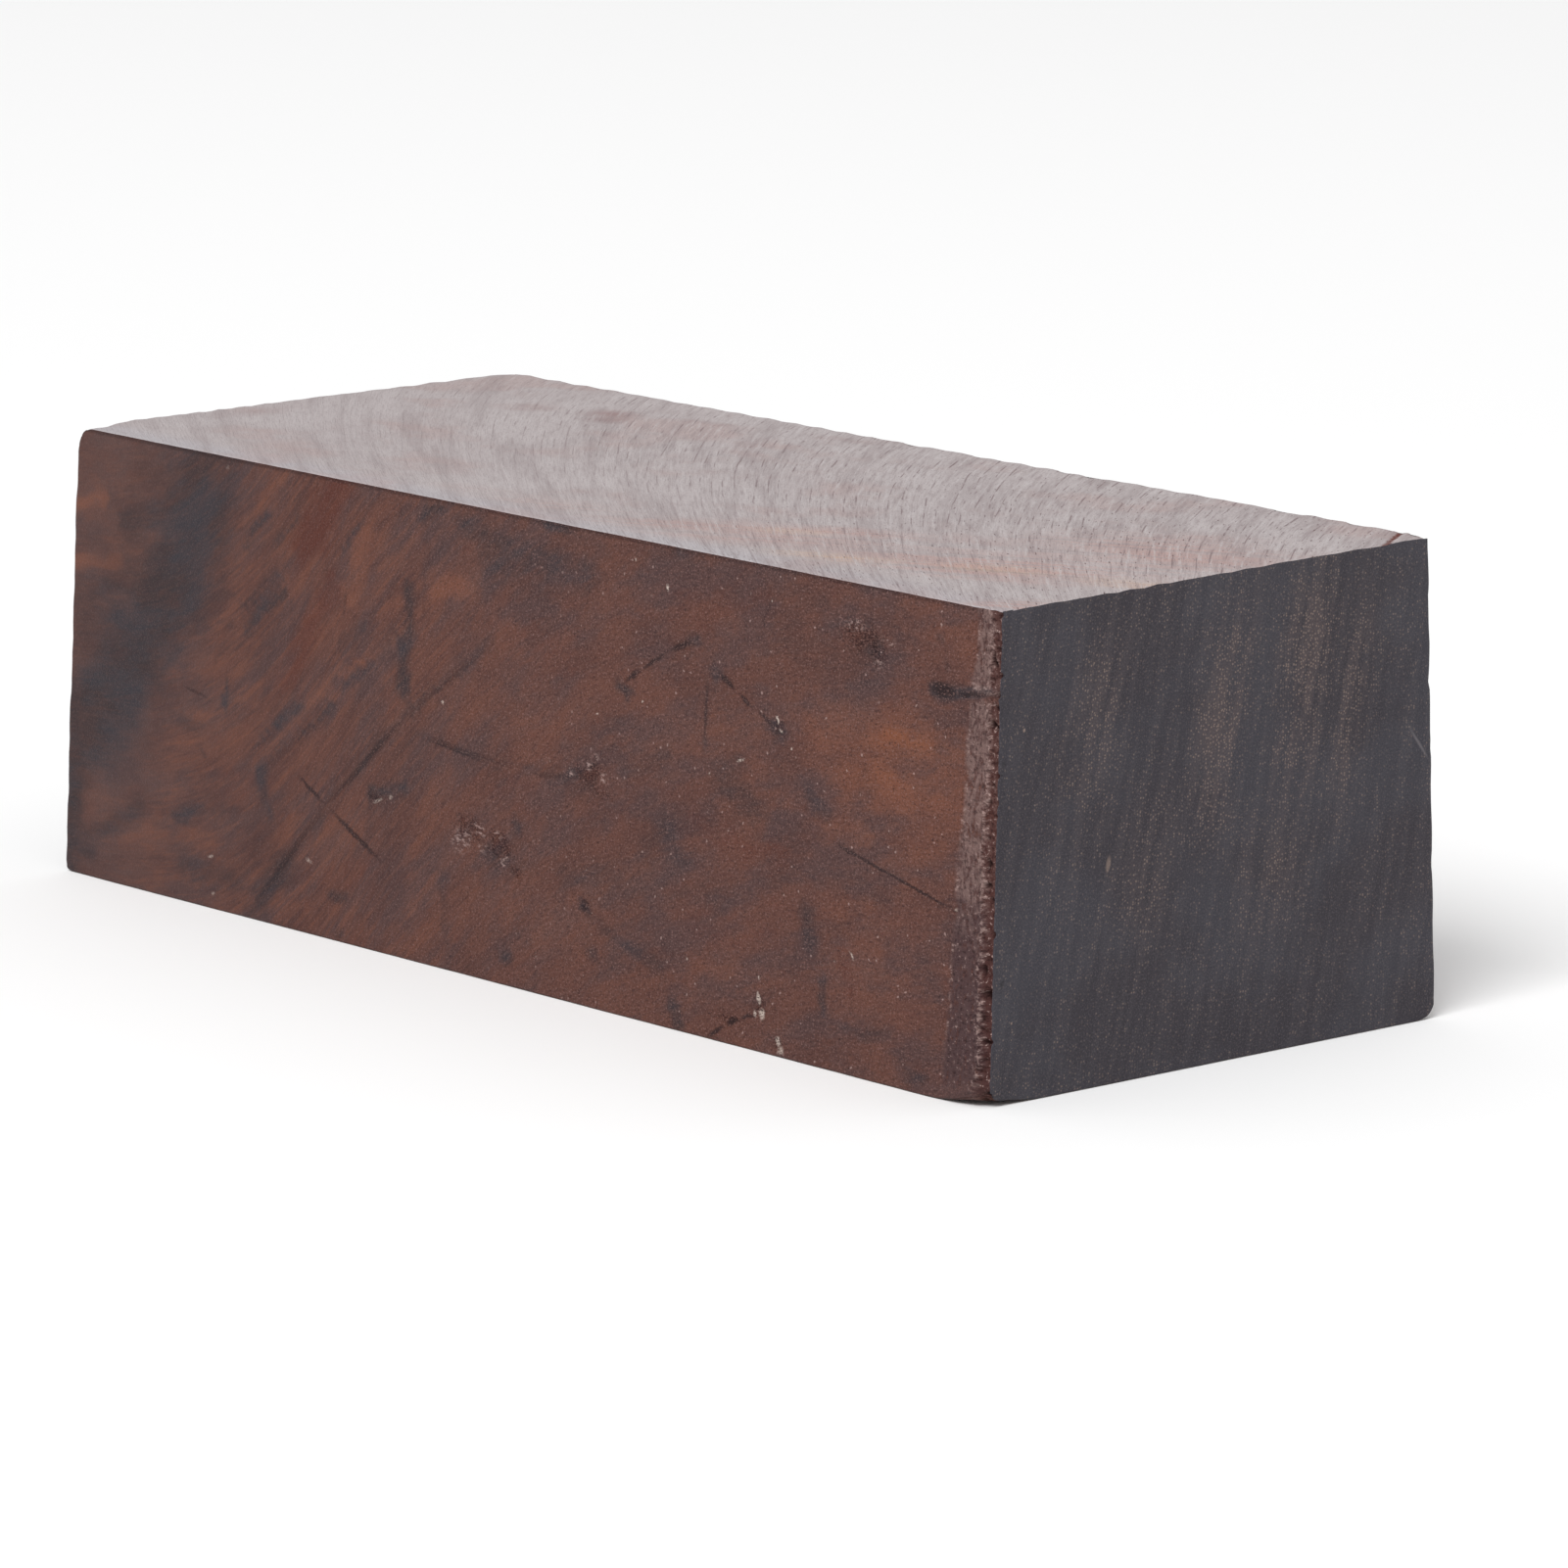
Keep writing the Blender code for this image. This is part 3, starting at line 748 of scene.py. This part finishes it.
ragged_group, given, ends = start_group(
    "ragged_place",
    {"Place": VECTOR, "Amount": NUMBER, "Waves per mm": NUMBER},
    {"Place": VECTOR},
)
push = {"Vector": given["Place"], "Scale": given["Waves per mm"], "Detail": 3.0, "Roughness": 0.6}
push = put(ragged_group, "ShaderNodeTexNoise", push, output="Color", noise_dimensions="2D")
push = put(ragged_group, "ShaderNodeVectorMath", {0: push, 1: (0.5, 0.5, 0.5)}, operation="SUBTRACT")
push = put(ragged_group, "ShaderNodeVectorMath", {0: push, "Scale": given["Amount"]}, operation="SCALE")
push = put(ragged_group, "ShaderNodeVectorMath", {0: given["Place"], 1: push}, operation="ADD")
ragged_group.links.new(push, ends["Place"])


def grains(tree, place, sizes, turn=0.0, detail=2.0, roughness=0.5, shift=0.0):
    """Noise about 0.5 whose waves have these two sizes in millimetres, turned by an angle."""
    inputs = {
        "Place": place, "Middle": (shift, shift, 0), "Turn": (0, 0, math.radians(turn)),
        "Wave Size": (*sizes, 1), "Detail": detail, "Roughness": roughness,
    }
    return put(tree, "ShaderNodeGroup", inputs, node_tree=grain_group)


def warped(tree, place, amount, size):
    """The place pushed about by noise, for edges that aren't drawn with a ruler."""
    inputs = {"Place": place, "Amount": amount, "Waves per mm": 1.0 / size}
    return put(tree, "ShaderNodeGroup", inputs, node_tree=ragged_group)


def dots(tree, place, per_mm, rim, core):
    """One dot for each cell of a scatter, from rim to core, and each cell's own chance from 0 to 1."""
    inputs = {"Place": place, "Dots per mm": per_mm, "Rim": rim, "Core": core}
    dot = put(tree, "ShaderNodeGroup", inputs, node_tree=dots_group)
    return dot, dot.node.outputs["Chance"]


def spots(tree, place, marks, inner=0.2):
    """The strongest of several soft spots. Each is a place from the left and from the top, half its length
    and half its width, the angle that it rises at, and its strength."""
    strongest = None
    for x, down, long, wide, turn, strength in marks:
        inputs = {
            "Place": place, "Middle": (x, TALL - down, 0), "Turn": (0, 0, math.radians(turn)),
            "Half Size": (long, wide, 1), "Blur": 1 - inner, "Strength": strength,
        }
        spot = put(tree, "ShaderNodeGroup", inputs, node_tree=spot_group)
        strongest = spot if strongest is None else larger(tree, strongest, spot)
    return strongest


def lines(ends):
    """Straight thin marks as long spots. Each is two places from the left and from the top, half its width
    and its strength."""
    marks = []
    for x, down, end_x, end_down, width, strength in ends:
        long, rise = end_x - x, down - end_down
        middle = (x + end_x) / 2, (down + end_down) / 2
        turn = math.degrees(math.atan2(rise, long))
        marks.append((*middle, math.hypot(long, rise) / 2, width, turn, strength))
    return marks


def start_material(name, roughness, specular):
    """A new material of the blank with its shader, ready for a colour."""
    material = bpy.data.materials.new(name)
    material.use_nodes = True
    shader = material.node_tree.nodes["Principled BSDF"]
    shader.inputs["Roughness"].default_value = roughness
    shader.inputs["Specular IOR Level"].default_value = specular
    blank.data.materials.append(material)
    return material.node_tree, shader


def finish_material(tree, shader, colour, height, distance):
    """Gives the shader its colour, and a relief so many millimetres high."""
    tree.links.new(colour, shader.inputs["Base Color"])
    bump = {"Height": height, "Distance": distance * MM, "Strength": 1.0}
    tree.links.new(put(tree, "ShaderNodeBump", bump), shader.inputs["Normal"])


# The planed side and the underside
# Long grain, planed and oiled. It runs level at the left end, climbs steeply through the left half
# and levels out again, red-brown with orange glow, ink-dark growth bands, scratches and crumbs, and a
# painted highlight along the step of the broken strip.
# The grain climbs by its rise along a curve of shares of the length, a little later low down.
GRAIN_RISE = 51.0
GRAIN_LAG = 0.2
GRAIN_CURVE = ((0.08, 0.029), (0.16, 0.108), (0.36, 0.476), (0.48, 0.667), (0.64, 0.824))
# Marks are places in millimetres from the left and from the top, as lines and spots take them.
SCRATCHES = (
    (33.7, 26.1, 38.8, 28.6, 0.34, 0.95), (38.0, 28.2, 47.5, 32.6, 0.38, 1.0),
    (51.0, 20.5, 61.5, 21.6, 0.20, 0.8), (78.4, 12.2, 81.0, 10.6, 0.42, 1.0),
    (80.4, 11.0, 84.6, 8.5, 0.32, 0.95), (84.0, 8.8, 87.6, 7.5, 0.42, 1.0),
    (90.6, 9.5, 93.3, 10.9, 0.42, 1.0), (93.2, 10.8, 95.4, 12.0, 0.30, 1.0),
    (95.4, 11.8, 98.6, 13.3, 0.36, 0.8), (89.5, 9.6, 89.2, 16.2, 0.26, 0.65),
    (105.4, 21.3, 111.6, 22.5, 0.25, 0.9), (107.4, 21.7, 115.6, 23.4, 0.22, 0.95),
    (110.6, 22.3, 122.6, 24.9, 0.21, 1.0), (121.0, 24.6, 124.8, 25.4, 0.28, 1.0),
    (90.6, 40.0, 93.4, 38.4, 0.32, 1.0), (93.0, 38.4, 95.0, 37.6, 0.50, 1.0),
    (94.6, 37.7, 97.4, 36.9, 0.24, 0.9), (16.5, 20.8, 21.5, 21.7, 0.24, 0.6),
    (95.6, 5.8, 97.8, 1.5, 0.16, 0.4), (116.6, 6.9, 120.6, 7.4, 0.85, 1.0),
    (119.4, 7.4, 125.0, 6.6, 0.4, 1.0), (27.0, 40.4, 39.0, 27.8, 0.55, 0.65),
    (37.4, 29.4, 51.0, 17.6, 0.5, 0.75), (49.0, 19.4, 61.6, 10.8, 0.36, 0.4),
    (49.6, 20.2, 66.0, 21.6, 0.3, 0.5), (64.0, 21.8, 76.0, 20.6, 0.34, 0.45),
    (40.5, 8.4, 40.0, 12.6, 0.3, 0.4),
)
FLECKS = (
    (83.8, 3.5, 0.24, 0.40, 20, 1.0), (54.3, 17.2, 0.36, 0.22, -35, 1.0), (97.2, 35.6, 0.32, 0.7, 10, 1.0),
    (97.7, 36.8, 0.5, 0.6, 0, 1.0), (96.9, 36.9, 0.3, 0.35, 0, 0.8), (97.2, 33.8, 0.15, 0.22, 0, 0.9),
    (99.8, 38.7, 0.45, 0.6, 20, 0.9), (100.3, 39.4, 0.55, 0.5, 0, 0.7), (98.4, 12.4, 0.24, 0.5, 25, 1.0),
    (98.9, 13.3, 0.36, 0.2, -20, 0.8), (100.3, 14.5, 0.16, 0.22, 0, 0.9), (81.1, 13.4, 0.2, 0.18, 0, 0.8),
    (75.2, 15.3, 0.16, 0.14, 0, 0.8), (108.7, 30.2, 0.15, 0.6, 35, 0.8), (22.0, 35.4, 0.55, 0.22, 15, 0.5),
    (36.3, 33.6, 0.6, 0.3, -15, 0.45), (22.6, 38.6, 0.45, 0.22, 10, 0.4), (22.8, 1.0, 0.4, 0.25, 0, 0.15),
    (45.8, 26.9, 0.9, 0.22, 20, 0.5), (47.6, 26.4, 0.3, 0.3, 0, 0.4), (90.0, 18.1, 0.14, 0.14, 0, 0.8),
    (88.0, 33.8, 0.18, 0.16, 0, 0.7), (121.2, 24.5, 0.3, 0.2, 0, 0.6), (106.6, 31.0, 0.16, 0.14, 0, 0.7),
    (79.5, 1.8, 0.14, 0.14, 0, 0.8), (97.2, 2.9, 0.14, 0.18, 0, 0.8), (94.0, 16.4, 0.7, 0.18, 20, 0.8),
)
CHIP_RIMS = (
    (57.6, 28.5, 1.9, 1.5, 20, 0.85), (59.9, 27.3, 1.3, 0.8, -15, 1.0), (62.4, 27.3, 1.1, 0.5, -15, 0.9),
    (63.5, 29.4, 0.9, 0.8, 20, 1.0), (60.4, 28.8, 0.9, 0.6, 20, 0.7), (74.3, 19.8, 0.8, 0.6, 0, 0.9),
    (76.3, 20.5, 0.8, 0.7, 0, 0.9), (72.0, 20.7, 0.6, 0.4, 0, 1.0), (75.2, 18.9, 0.6, 0.5, 0, 0.8),
    (107.6, 3.4, 1.8, 0.8, 5, 0.85), (110.6, 6.2, 1.0, 0.6, 0, 0.8), (111.8, 4.2, 1.2, 0.5, -10, 0.7),
)
MOTES_PER_MM = 1.1
GLOWS = ((114.0, 12.0, 7.0, 1.7, 2, 0.4), (110.5, 15.6, 4.6, 2.0, 12, 0.3), (113.0, 11.6, 3.2, 0.9, 0, 0.65))
paint = paints_under(light=1.17, sheen=0.016)
RED_BROWN = paint(102, 71, 64)
PURPLE_BROWN = paint(90, 68, 66)
MAUVE_BROWN = paint(94, 73, 70)
ORANGE_BROWN = paint(126, 83, 68)
ORANGE_GLOW = paint(140, 87, 62)
BRICK_RED = paint(94, 57, 50)
DARK_STREAK = paint(73, 56, 56)
INK = paint(64, 57, 59)
INK_BLUE = paint(62, 60, 65)
INK_THIN = paint(50, 41, 42)
DUST_PINK = paint(140, 110, 105)
SCUFFED_GREY = paint(130, 107, 103)
SCUFFED_DARK = paint(94, 74, 73)
SCUFFED_PURPLE = paint(80, 64, 66)
TORN_BROWN = paint(84, 58, 55)
# Painted shade for the pits of the broken strip.
PIT_SHADE = paint(46, 26, 24)
# Pale crumbs of torn fibre, and also the painted highlight along the broken strip's step.
CRUMB_AND_HIGHLIGHT_PALE = paint(180, 154, 148)
FLECK_WHITE = paint(194, 178, 168)


def curved_grain(tree, x, y):
    """The place along the blank and across its curving fibres."""
    late = scaled(tree, y, GRAIN_LAG, -GRAIN_LAG * TALL)
    share = product(tree, sum_of(tree, x, late), 1 / LONG)
    curve = tree.nodes.new("ShaderNodeFloatCurve")
    for point in GRAIN_CURVE:
        curve.mapping.curves[0].points.new(*point)
    curve.mapping.update()
    tree.links.new(share, curve.inputs["Value"])
    across = scaled(tree, curve.outputs[0], -GRAIN_RISE, y)
    return put(tree, "ShaderNodeCombineXYZ", {"X": x, "Y": across})


def read_mark(tree, name):
    return put(tree, "ShaderNodeAttribute", output="Fac", attribute_name=name)


def roughened(tree, mark, how, amount, low, high):
    """A painted mark whose edge is broken up by noise."""
    shift = scaled(tree, how, amount, -0.5 * amount)
    return between(tree, sum_of(tree, mark, shift), low, high)


tree, shader = start_material("planed_ebony", 0.55, 0.14)
place, x, y = flat_place(tree)
fibre = curved_grain(tree, x, y)
close = warped(tree, place, 0.45, 0.8)
scuffed, torn, pits, lip = (read_mark(tree, name) for name in ("scuffed", "torn", "pits", "lip"))
ink, warm, red = (read_mark(tree, name) for name in ("ink", "warm", "red"))

mottle = grains(tree, fibre, (8.5, 4.0), detail=4, roughness=0.62, shift=4)
streaks = grains(tree, fibre, (6.5, 1.25), detail=3, roughness=0.6, shift=11)
thin = grains(tree, fibre, (3.2, 0.34), detail=3, roughness=0.66, shift=91)
patchy = grains(tree, fibre, (3.4, 1.3), detail=4, roughness=0.66, shift=23)
clouds = grains(tree, fibre, (9.0, 5.0), detail=4, roughness=0.55, shift=53)
fine = grains(tree, fibre, (0.6, 0.27), detail=3, roughness=0.66, shift=3)
dust = grains(tree, place, (0.22, 0.17), roughness=0.75, shift=17)
flaky = grains(tree, place, (0.6, 0.3), detail=3, roughness=0.7, shift=71)
rubbed = grains(tree, place, (0.5, 1.3), detail=4, roughness=0.8, shift=41)
crumble = grains(tree, place, (0.45, 0.42), detail=3, roughness=0.75, shift=47)
mote, chance = dots(tree, close, MOTES_PER_MM, 0.14, 0.06)

figured = product(tree, between(tree, x, 4, 22, 0.3, 1.0), between(tree, x, 45, 66, 1.0, 0.3))
dusty = between(tree, x, 12, 72, 0.3, 1.0)
bare = tint(tree, between(tree, mottle, 0.36, 0.6), PURPLE_BROWN, RED_BROWN)
band = tint(tree, between(tree, mottle, 0.36, 0.6), INK_BLUE, INK)
scuff = tint(tree, between(tree, rubbed, 0.40, 0.58), SCUFFED_DARK, SCUFFED_GREY)
low_down = sum_of(tree, y, product(tree, patchy, 16.0))
scuff = painted_over(tree, scuff, (SCUFFED_PURPLE, (low_down, 27, 20, 0.0, 0.85)))
# The slope of the scuffed step, where a highlight is painted.
step_highlight = product(tree, between(tree, scuffed, 0.1, 0.5), between(tree, scuffed, 0.95, 0.6))
colour = painted_over(
    tree, bare,
    (MAUVE_BROWN, (x, 34, 6, 0.0, 0.7)),
    (ORANGE_BROWN, (streaks, 0.53, 0.70, 0.0, 0.38), figured),
    (DARK_STREAK, (streaks, 0.47, 0.30, 0.0, 0.42), figured),
    (ORANGE_BROWN, (thin, 0.54, 0.70, 0.0, 0.35), figured),
    (DARK_STREAK, (thin, 0.46, 0.30, 0.0, 0.45), figured),
    (ORANGE_BROWN, (clouds, 0.50, 0.70, 0.0, 0.2)),
    (DARK_STREAK, (clouds, 0.50, 0.30, 0.0, 0.3)),
    (ORANGE_BROWN, roughened(tree, warm, patchy, 1.3, 0.1, 1.2), 0.9),
    (BRICK_RED, roughened(tree, red, patchy, 1.2, 0.1, 1.15), 0.85),
    (ORANGE_GLOW, spots(tree, close, GLOWS, 0.0), (patchy, 0.35, 0.55, 0.5, 1.0)),
    (band, roughened(tree, ink, patchy, 0.8, 0.04, 1.05), (thin, 0.36, 0.60, 0.97, 0.84)),
    (INK_THIN, spots(tree, close, lines(SCRATCHES), 0.3), (fine, 0.3, 0.5, 0.6, 1.0), 0.88),
    (INK_THIN, (y, TALL - 0.5, TALL - 0.2, 0.0, 0.5)),
    (INK_THIN, (fine, 0.48, 0.26, 0.0, 0.4), dusty),
    (DUST_PINK, (fine, 0.54, 0.78, 0.0, 0.35), dusty),
    (DUST_PINK, (dust, 0.58, 0.74, 0.0, 0.8), dusty),
    (INK_THIN, (dust, 0.42, 0.26, 0.0, 0.8), dusty),
    (INK_THIN, torn, (dust, 0.55, 0.38, 0.0, 0.6)),
    (CRUMB_AND_HIGHLIGHT_PALE, spots(tree, close, CHIP_RIMS), (flaky, 0.50, 0.62, 0.0, 0.7)),
    (FLECK_WHITE, spots(tree, close, FLECKS, 0.3), (dust, 0.40, 0.52, 0.1, 1.0)),
    (CRUMB_AND_HIGHLIGHT_PALE, mote, (chance, 0.93, 0.95), (x, 48, 90, 0.0, 0.6)),
    (scuff, scuffed, (rubbed, 0.34, 0.46, 0.25, 0.9)),
    (TORN_BROWN, torn, scuffed, (crumble, 0.3, 0.55, 0.95, 0.7)),
    (CRUMB_AND_HIGHLIGHT_PALE, torn, scuffed, (crumble, 0.58, 0.72, 0.0, 0.75)),
    (CRUMB_AND_HIGHLIGHT_PALE, scuffed, (crumble, 0.61, 0.74, 0.0, 0.6)),
    (INK_THIN, scuffed, (crumble, 0.46, 0.32, 0.0, 0.6)),
    (CRUMB_AND_HIGHLIGHT_PALE, lip, (crumble, 0.48, 0.62, 0.0, 0.6)),
    # Painted highlight: a pale broken line along the scuffed step's edge, in the crumbs' paint.
    (CRUMB_AND_HIGHLIGHT_PALE, step_highlight, (patchy, 0.44, 0.58), (y, 4, 7), (crumble, 0.46, 0.60, 0.0, 0.55)),
    # Painted shade: the pits of the torn edge are darkened in the colour.
    (PIT_SHADE, pits),
)

broken = larger(tree, torn, scuffed)
height = sum_of(tree, product(tree, fine, 0.6), product(tree, dust, 0.6))
height = sum_of(tree, height, product(tree, product(tree, broken, crumble), 2.4))
finish_material(tree, shader, colour, height, 0.07)
rough = larger(tree, between(tree, mottle, 0.3, 0.7, 0.48, 0.6), product(tree, broken, 0.85))
tree.links.new(rough, shader.inputs["Roughness"])

# The sawn top and back
# Dry fibre torn up by the saw, mauve-grey and pale, crossed by the saw's arcs, with the shaded side of their
# ticks painted on as dark lines, pink and peach growth rings towards the front right, red blotches at the
# back left, and dark pores where it tore.
# Its marks count down from the front edge, so places behind that edge are below zero.
TICK_PITCH = 1.0
RING_RISE = 27.0
paint = paints_under(light=1.08, sheen=0.004)
PALE_GREY = paint(178, 168, 168)
PALE_LIGHT = paint(198, 191, 191)
PALE_BLUE = paint(186, 182, 187)
PALE_SHADE = paint(146, 133, 134)
# Painted shade: the dark side of each saw tick.
TICK_SHADE = paint(126, 110, 111)
RING_PINK = paint(187, 155, 149)
RING_PEACH = paint(204, 173, 151)
BLOTCH = paint(142, 108, 106)
PORE_DARK = paint(84, 62, 62)
SPLIT_RED = paint(112, 72, 66)
TOP_BLOTCHES = (
    (18.0, -37.5, 5.0, 3.4, 20, 0.75), (26.7, -41.0, 5.0, 3.2, 0, 0.9), (29.0, -38.5, 3.6, 2.6, 0, 0.8),
    (37.0, -44.0, 4.5, 1.6, 10, 0.5), (3.5, -18.0, 3.5, 6.0, 0, 0.35), (52.0, -47.0, 6.0, 1.4, 0, 0.4),
)
RING_ZONES = (
    (84.0, -9.0, 24.0, 7.0, 20, 0.7), (89.0, -15.0, 15.0, 4.0, 25, 0.9), (110.0, -14.0, 24.0, 10.0, 22, 0.9),
    (114.0, -27.0, 20.0, 14.0, 22, 0.8), (60.0, -6.0, 18.0, 4.0, 5, 0.4), (124.0, -3.0, 7.0, 4.0, 40, 0.8),
)
PEACH_ZONES = (
    (85.5, -12.0, 6.0, 2.0, 27, 0.75), (97.5, -7.0, 9.0, 2.6, 22, 0.85), (110.5, -12.8, 9.0, 2.8, 22, 0.85),
    (123.0, -16.5, 7.0, 3.2, 20, 0.8),
)

tree, shader = start_material("sawn_ebony", 0.9, 0.1)
place, x, y = flat_place(tree)
y = sum_of(tree, y, -TALL)
steep = scaled(tree, y, ARC_SHIFT[1], ARC_SHIFT[0])
spread = scaled(tree, x, ARC_SPREAD[1], ARC_SPREAD[0])
out = sum_of(tree, product(tree, product(tree, y, steep), spread), x)
arc = put(tree, "ShaderNodeCombineXYZ", {"X": y, "Y": product(tree, out, ARC_ACROSS)})

wide = grains(tree, arc, (20, 2.6), shift=5)
stroke = grains(tree, arc, (4.5, 0.42), detail=3, roughness=0.62, shift=9)
hair = grains(tree, arc, (1.6, 0.13), roughness=0.65, shift=2)
fuzz = grains(tree, place, (0.3, 0.26), roughness=0.7, shift=6)
patch = grains(tree, place, (15, 10), detail=3, roughness=0.55, shift=14)
rings = grains(tree, place, (30, 0.8), turn=RING_RISE, detail=3, roughness=0.55, shift=31)
kept = grains(tree, arc, (3.4, 0.7), roughness=0.6, shift=83)
pores = grains(tree, arc, (0.9, 0.22), detail=1, shift=61)

torn_side = between(tree, sum_of(tree, x, y), 15, 110, 0.25, 1.0)
ringed = warped(tree, place, 2.0, 6.0)
zone = spots(tree, ringed, RING_ZONES, 0.0)
bent = sum_of(tree, wide, product(tree, out, ARC_ACROSS / TICK_PITCH))
# The saw ticks, whose shaded side is painted as a dark line.
tick_shade = put(tree, "ShaderNodeMath", {0: bent, 1: 0.5}, operation="PINGPONG")
colour = painted_over(
    tree, tint(tree, between(tree, patch, 0.3, 0.7, 0.0, 0.45), PALE_GREY, PALE_LIGHT),
    (PALE_BLUE, (y, 5.0, 1.0, 0.0, 0.6)),
    (RING_PINK, (patch, 0.5, 0.3, 0.0, 0.25)),
    (PALE_SHADE, (wide, 0.55, 0.3, 0.0, 0.3)),
    (RING_PINK, zone, (rings, 0.45, 0.58, 0.3, 1.0)),
    (RING_PEACH, spots(tree, ringed, PEACH_ZONES, 0.0), (rings, 0.54, 0.42, 0.3, 1.0)),
    (PALE_SHADE, zone, (rings, 0.46, 0.36, 0.0, 0.5)),
    (BLOTCH, spots(tree, ringed, TOP_BLOTCHES, 0.0), 0.6),
    (PALE_SHADE, (stroke, 0.48, 0.28, 0.0, 0.5), torn_side),
    (PALE_LIGHT, (stroke, 0.52, 0.72, 0.0, 0.55), torn_side),
    (PALE_SHADE, (hair, 0.48, 0.28, 0.0, 0.35)),
    (PALE_SHADE, (fuzz, 0.44, 0.26, 0.0, 0.55)),
    # Painted shade along each saw tick.
    (TICK_SHADE, (tick_shade, 0.10, 0.01), (kept, 0.46, 0.64), torn_side, (y, 3, 30, 0.3, 0.8)),
    (PORE_DARK, (pores, 0.29, 0.21), (x, 50, 110, 0.1, 0.7)),
    (SPLIT_RED, (read_mark(tree, "split"), 0.1, 0.6)),
)
height = sum_of(tree, sum_of(tree, stroke, product(tree, hair, 0.5)), product(tree, fuzz, 0.35))
finish_material(tree, shader, colour, height, 0.10)

# The ends
# End grain, sanded on the right and sawn on the left: charcoal, with tan pores in leaning rows
# that crowd together in the brown growth bands. The sanded end's places start at 125 on the sheet.
paint = paints_under(light=1.42, sheen=0.010)
CHARCOAL = paint(71, 67, 73)
CHARCOAL_BLUE = paint(77, 75, 82)
BAND_BROWN = paint(99, 86, 86)
PORE_TAN = paint(158, 138, 128)
PORE_GREY = paint(124, 118, 122)
DEEP_DARK = paint(52, 47, 52)
END_LEAN = 12.0
CELLS_PER_MM = 3.4
END_ROWS = (
    (136.0, 11.0, 5.5, 17.0, -12, 0.5), (150.5, 12.0, 4.5, 19.0, -12, 0.9),
    (160.0, 10.0, 5.0, 17.0, -12, 1.0), (165.5, 13.0, 3.0, 14.0, -12, 0.8),
    (142.0, 24.0, 6.0, 12.0, -12, 0.4), (156.0, 25.0, 6.0, 10.0, -12, 0.45),
)
END_LINES = ((172.0, 15.0, 174.9, 18.8, 0.2, 0.8),)
END_FLECKS = (
    (138.0, 22.0, 0.35, 0.9, -10, 0.6), (128.1, 9.9, 0.2, 0.22, 0, 1.0), (127.6, 33.4, 0.16, 0.16, 0, 0.9),
)

tree, shader = start_material("end_grain_ebony", 0.6, 0.2)
place = flat_place(tree)[0]
leaning = grains(tree, place, (1.1, 11), turn=-END_LEAN, detail=4, roughness=0.62, shift=7)
haze = grains(tree, place, (12, 9), detail=3, shift=27)
speck = grains(tree, place, (0.15, 0.17), roughness=0.75, shift=33)
dot, chance = dots(tree, place, CELLS_PER_MM, 0.40, 0.12)

rich = spots(tree, warped(tree, place, 2.5, 6.0), END_ROWS, 0.0)
rows = between(tree, leaning, 0.38, 0.62)
crowded = sum_of(tree, product(tree, rich, 0.6), product(tree, rows, 0.25))
colour = painted_over(
    tree, tint(tree, between(tree, haze, 0.35, 0.65), CHARCOAL, CHARCOAL_BLUE),
    (BAND_BROWN, rich, (leaning, 0.40, 0.60, 0.2, 0.85)),
    (PORE_GREY, rows, 0.09),
    (PORE_TAN, dot, (sum_of(tree, chance, crowded), 0.7, 1.4), 0.8),
    (PORE_GREY, (speck, 0.54, 0.75, 0.0, 0.55)),
    (DEEP_DARK, (speck, 0.44, 0.25, 0.0, 0.55)),
    (PORE_GREY, spots(tree, place, lines(END_LINES))),
    (PORE_TAN, spots(tree, place, END_FLECKS, 0.3)),
)
height = sum_of(tree, product(tree, speck, 0.6), product(tree, rows, 0.15))
finish_material(tree, shader, colour, height, 0.03)

# The finished blank
# One solid piece: it stands for the whole block and rests on its underside.
bpy.context.view_layer.objects.active = blank
blank.select_set(True)
bpy.ops.object.mode_set(mode="OBJECT")
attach(blank, "root")
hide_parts("wood_blank")
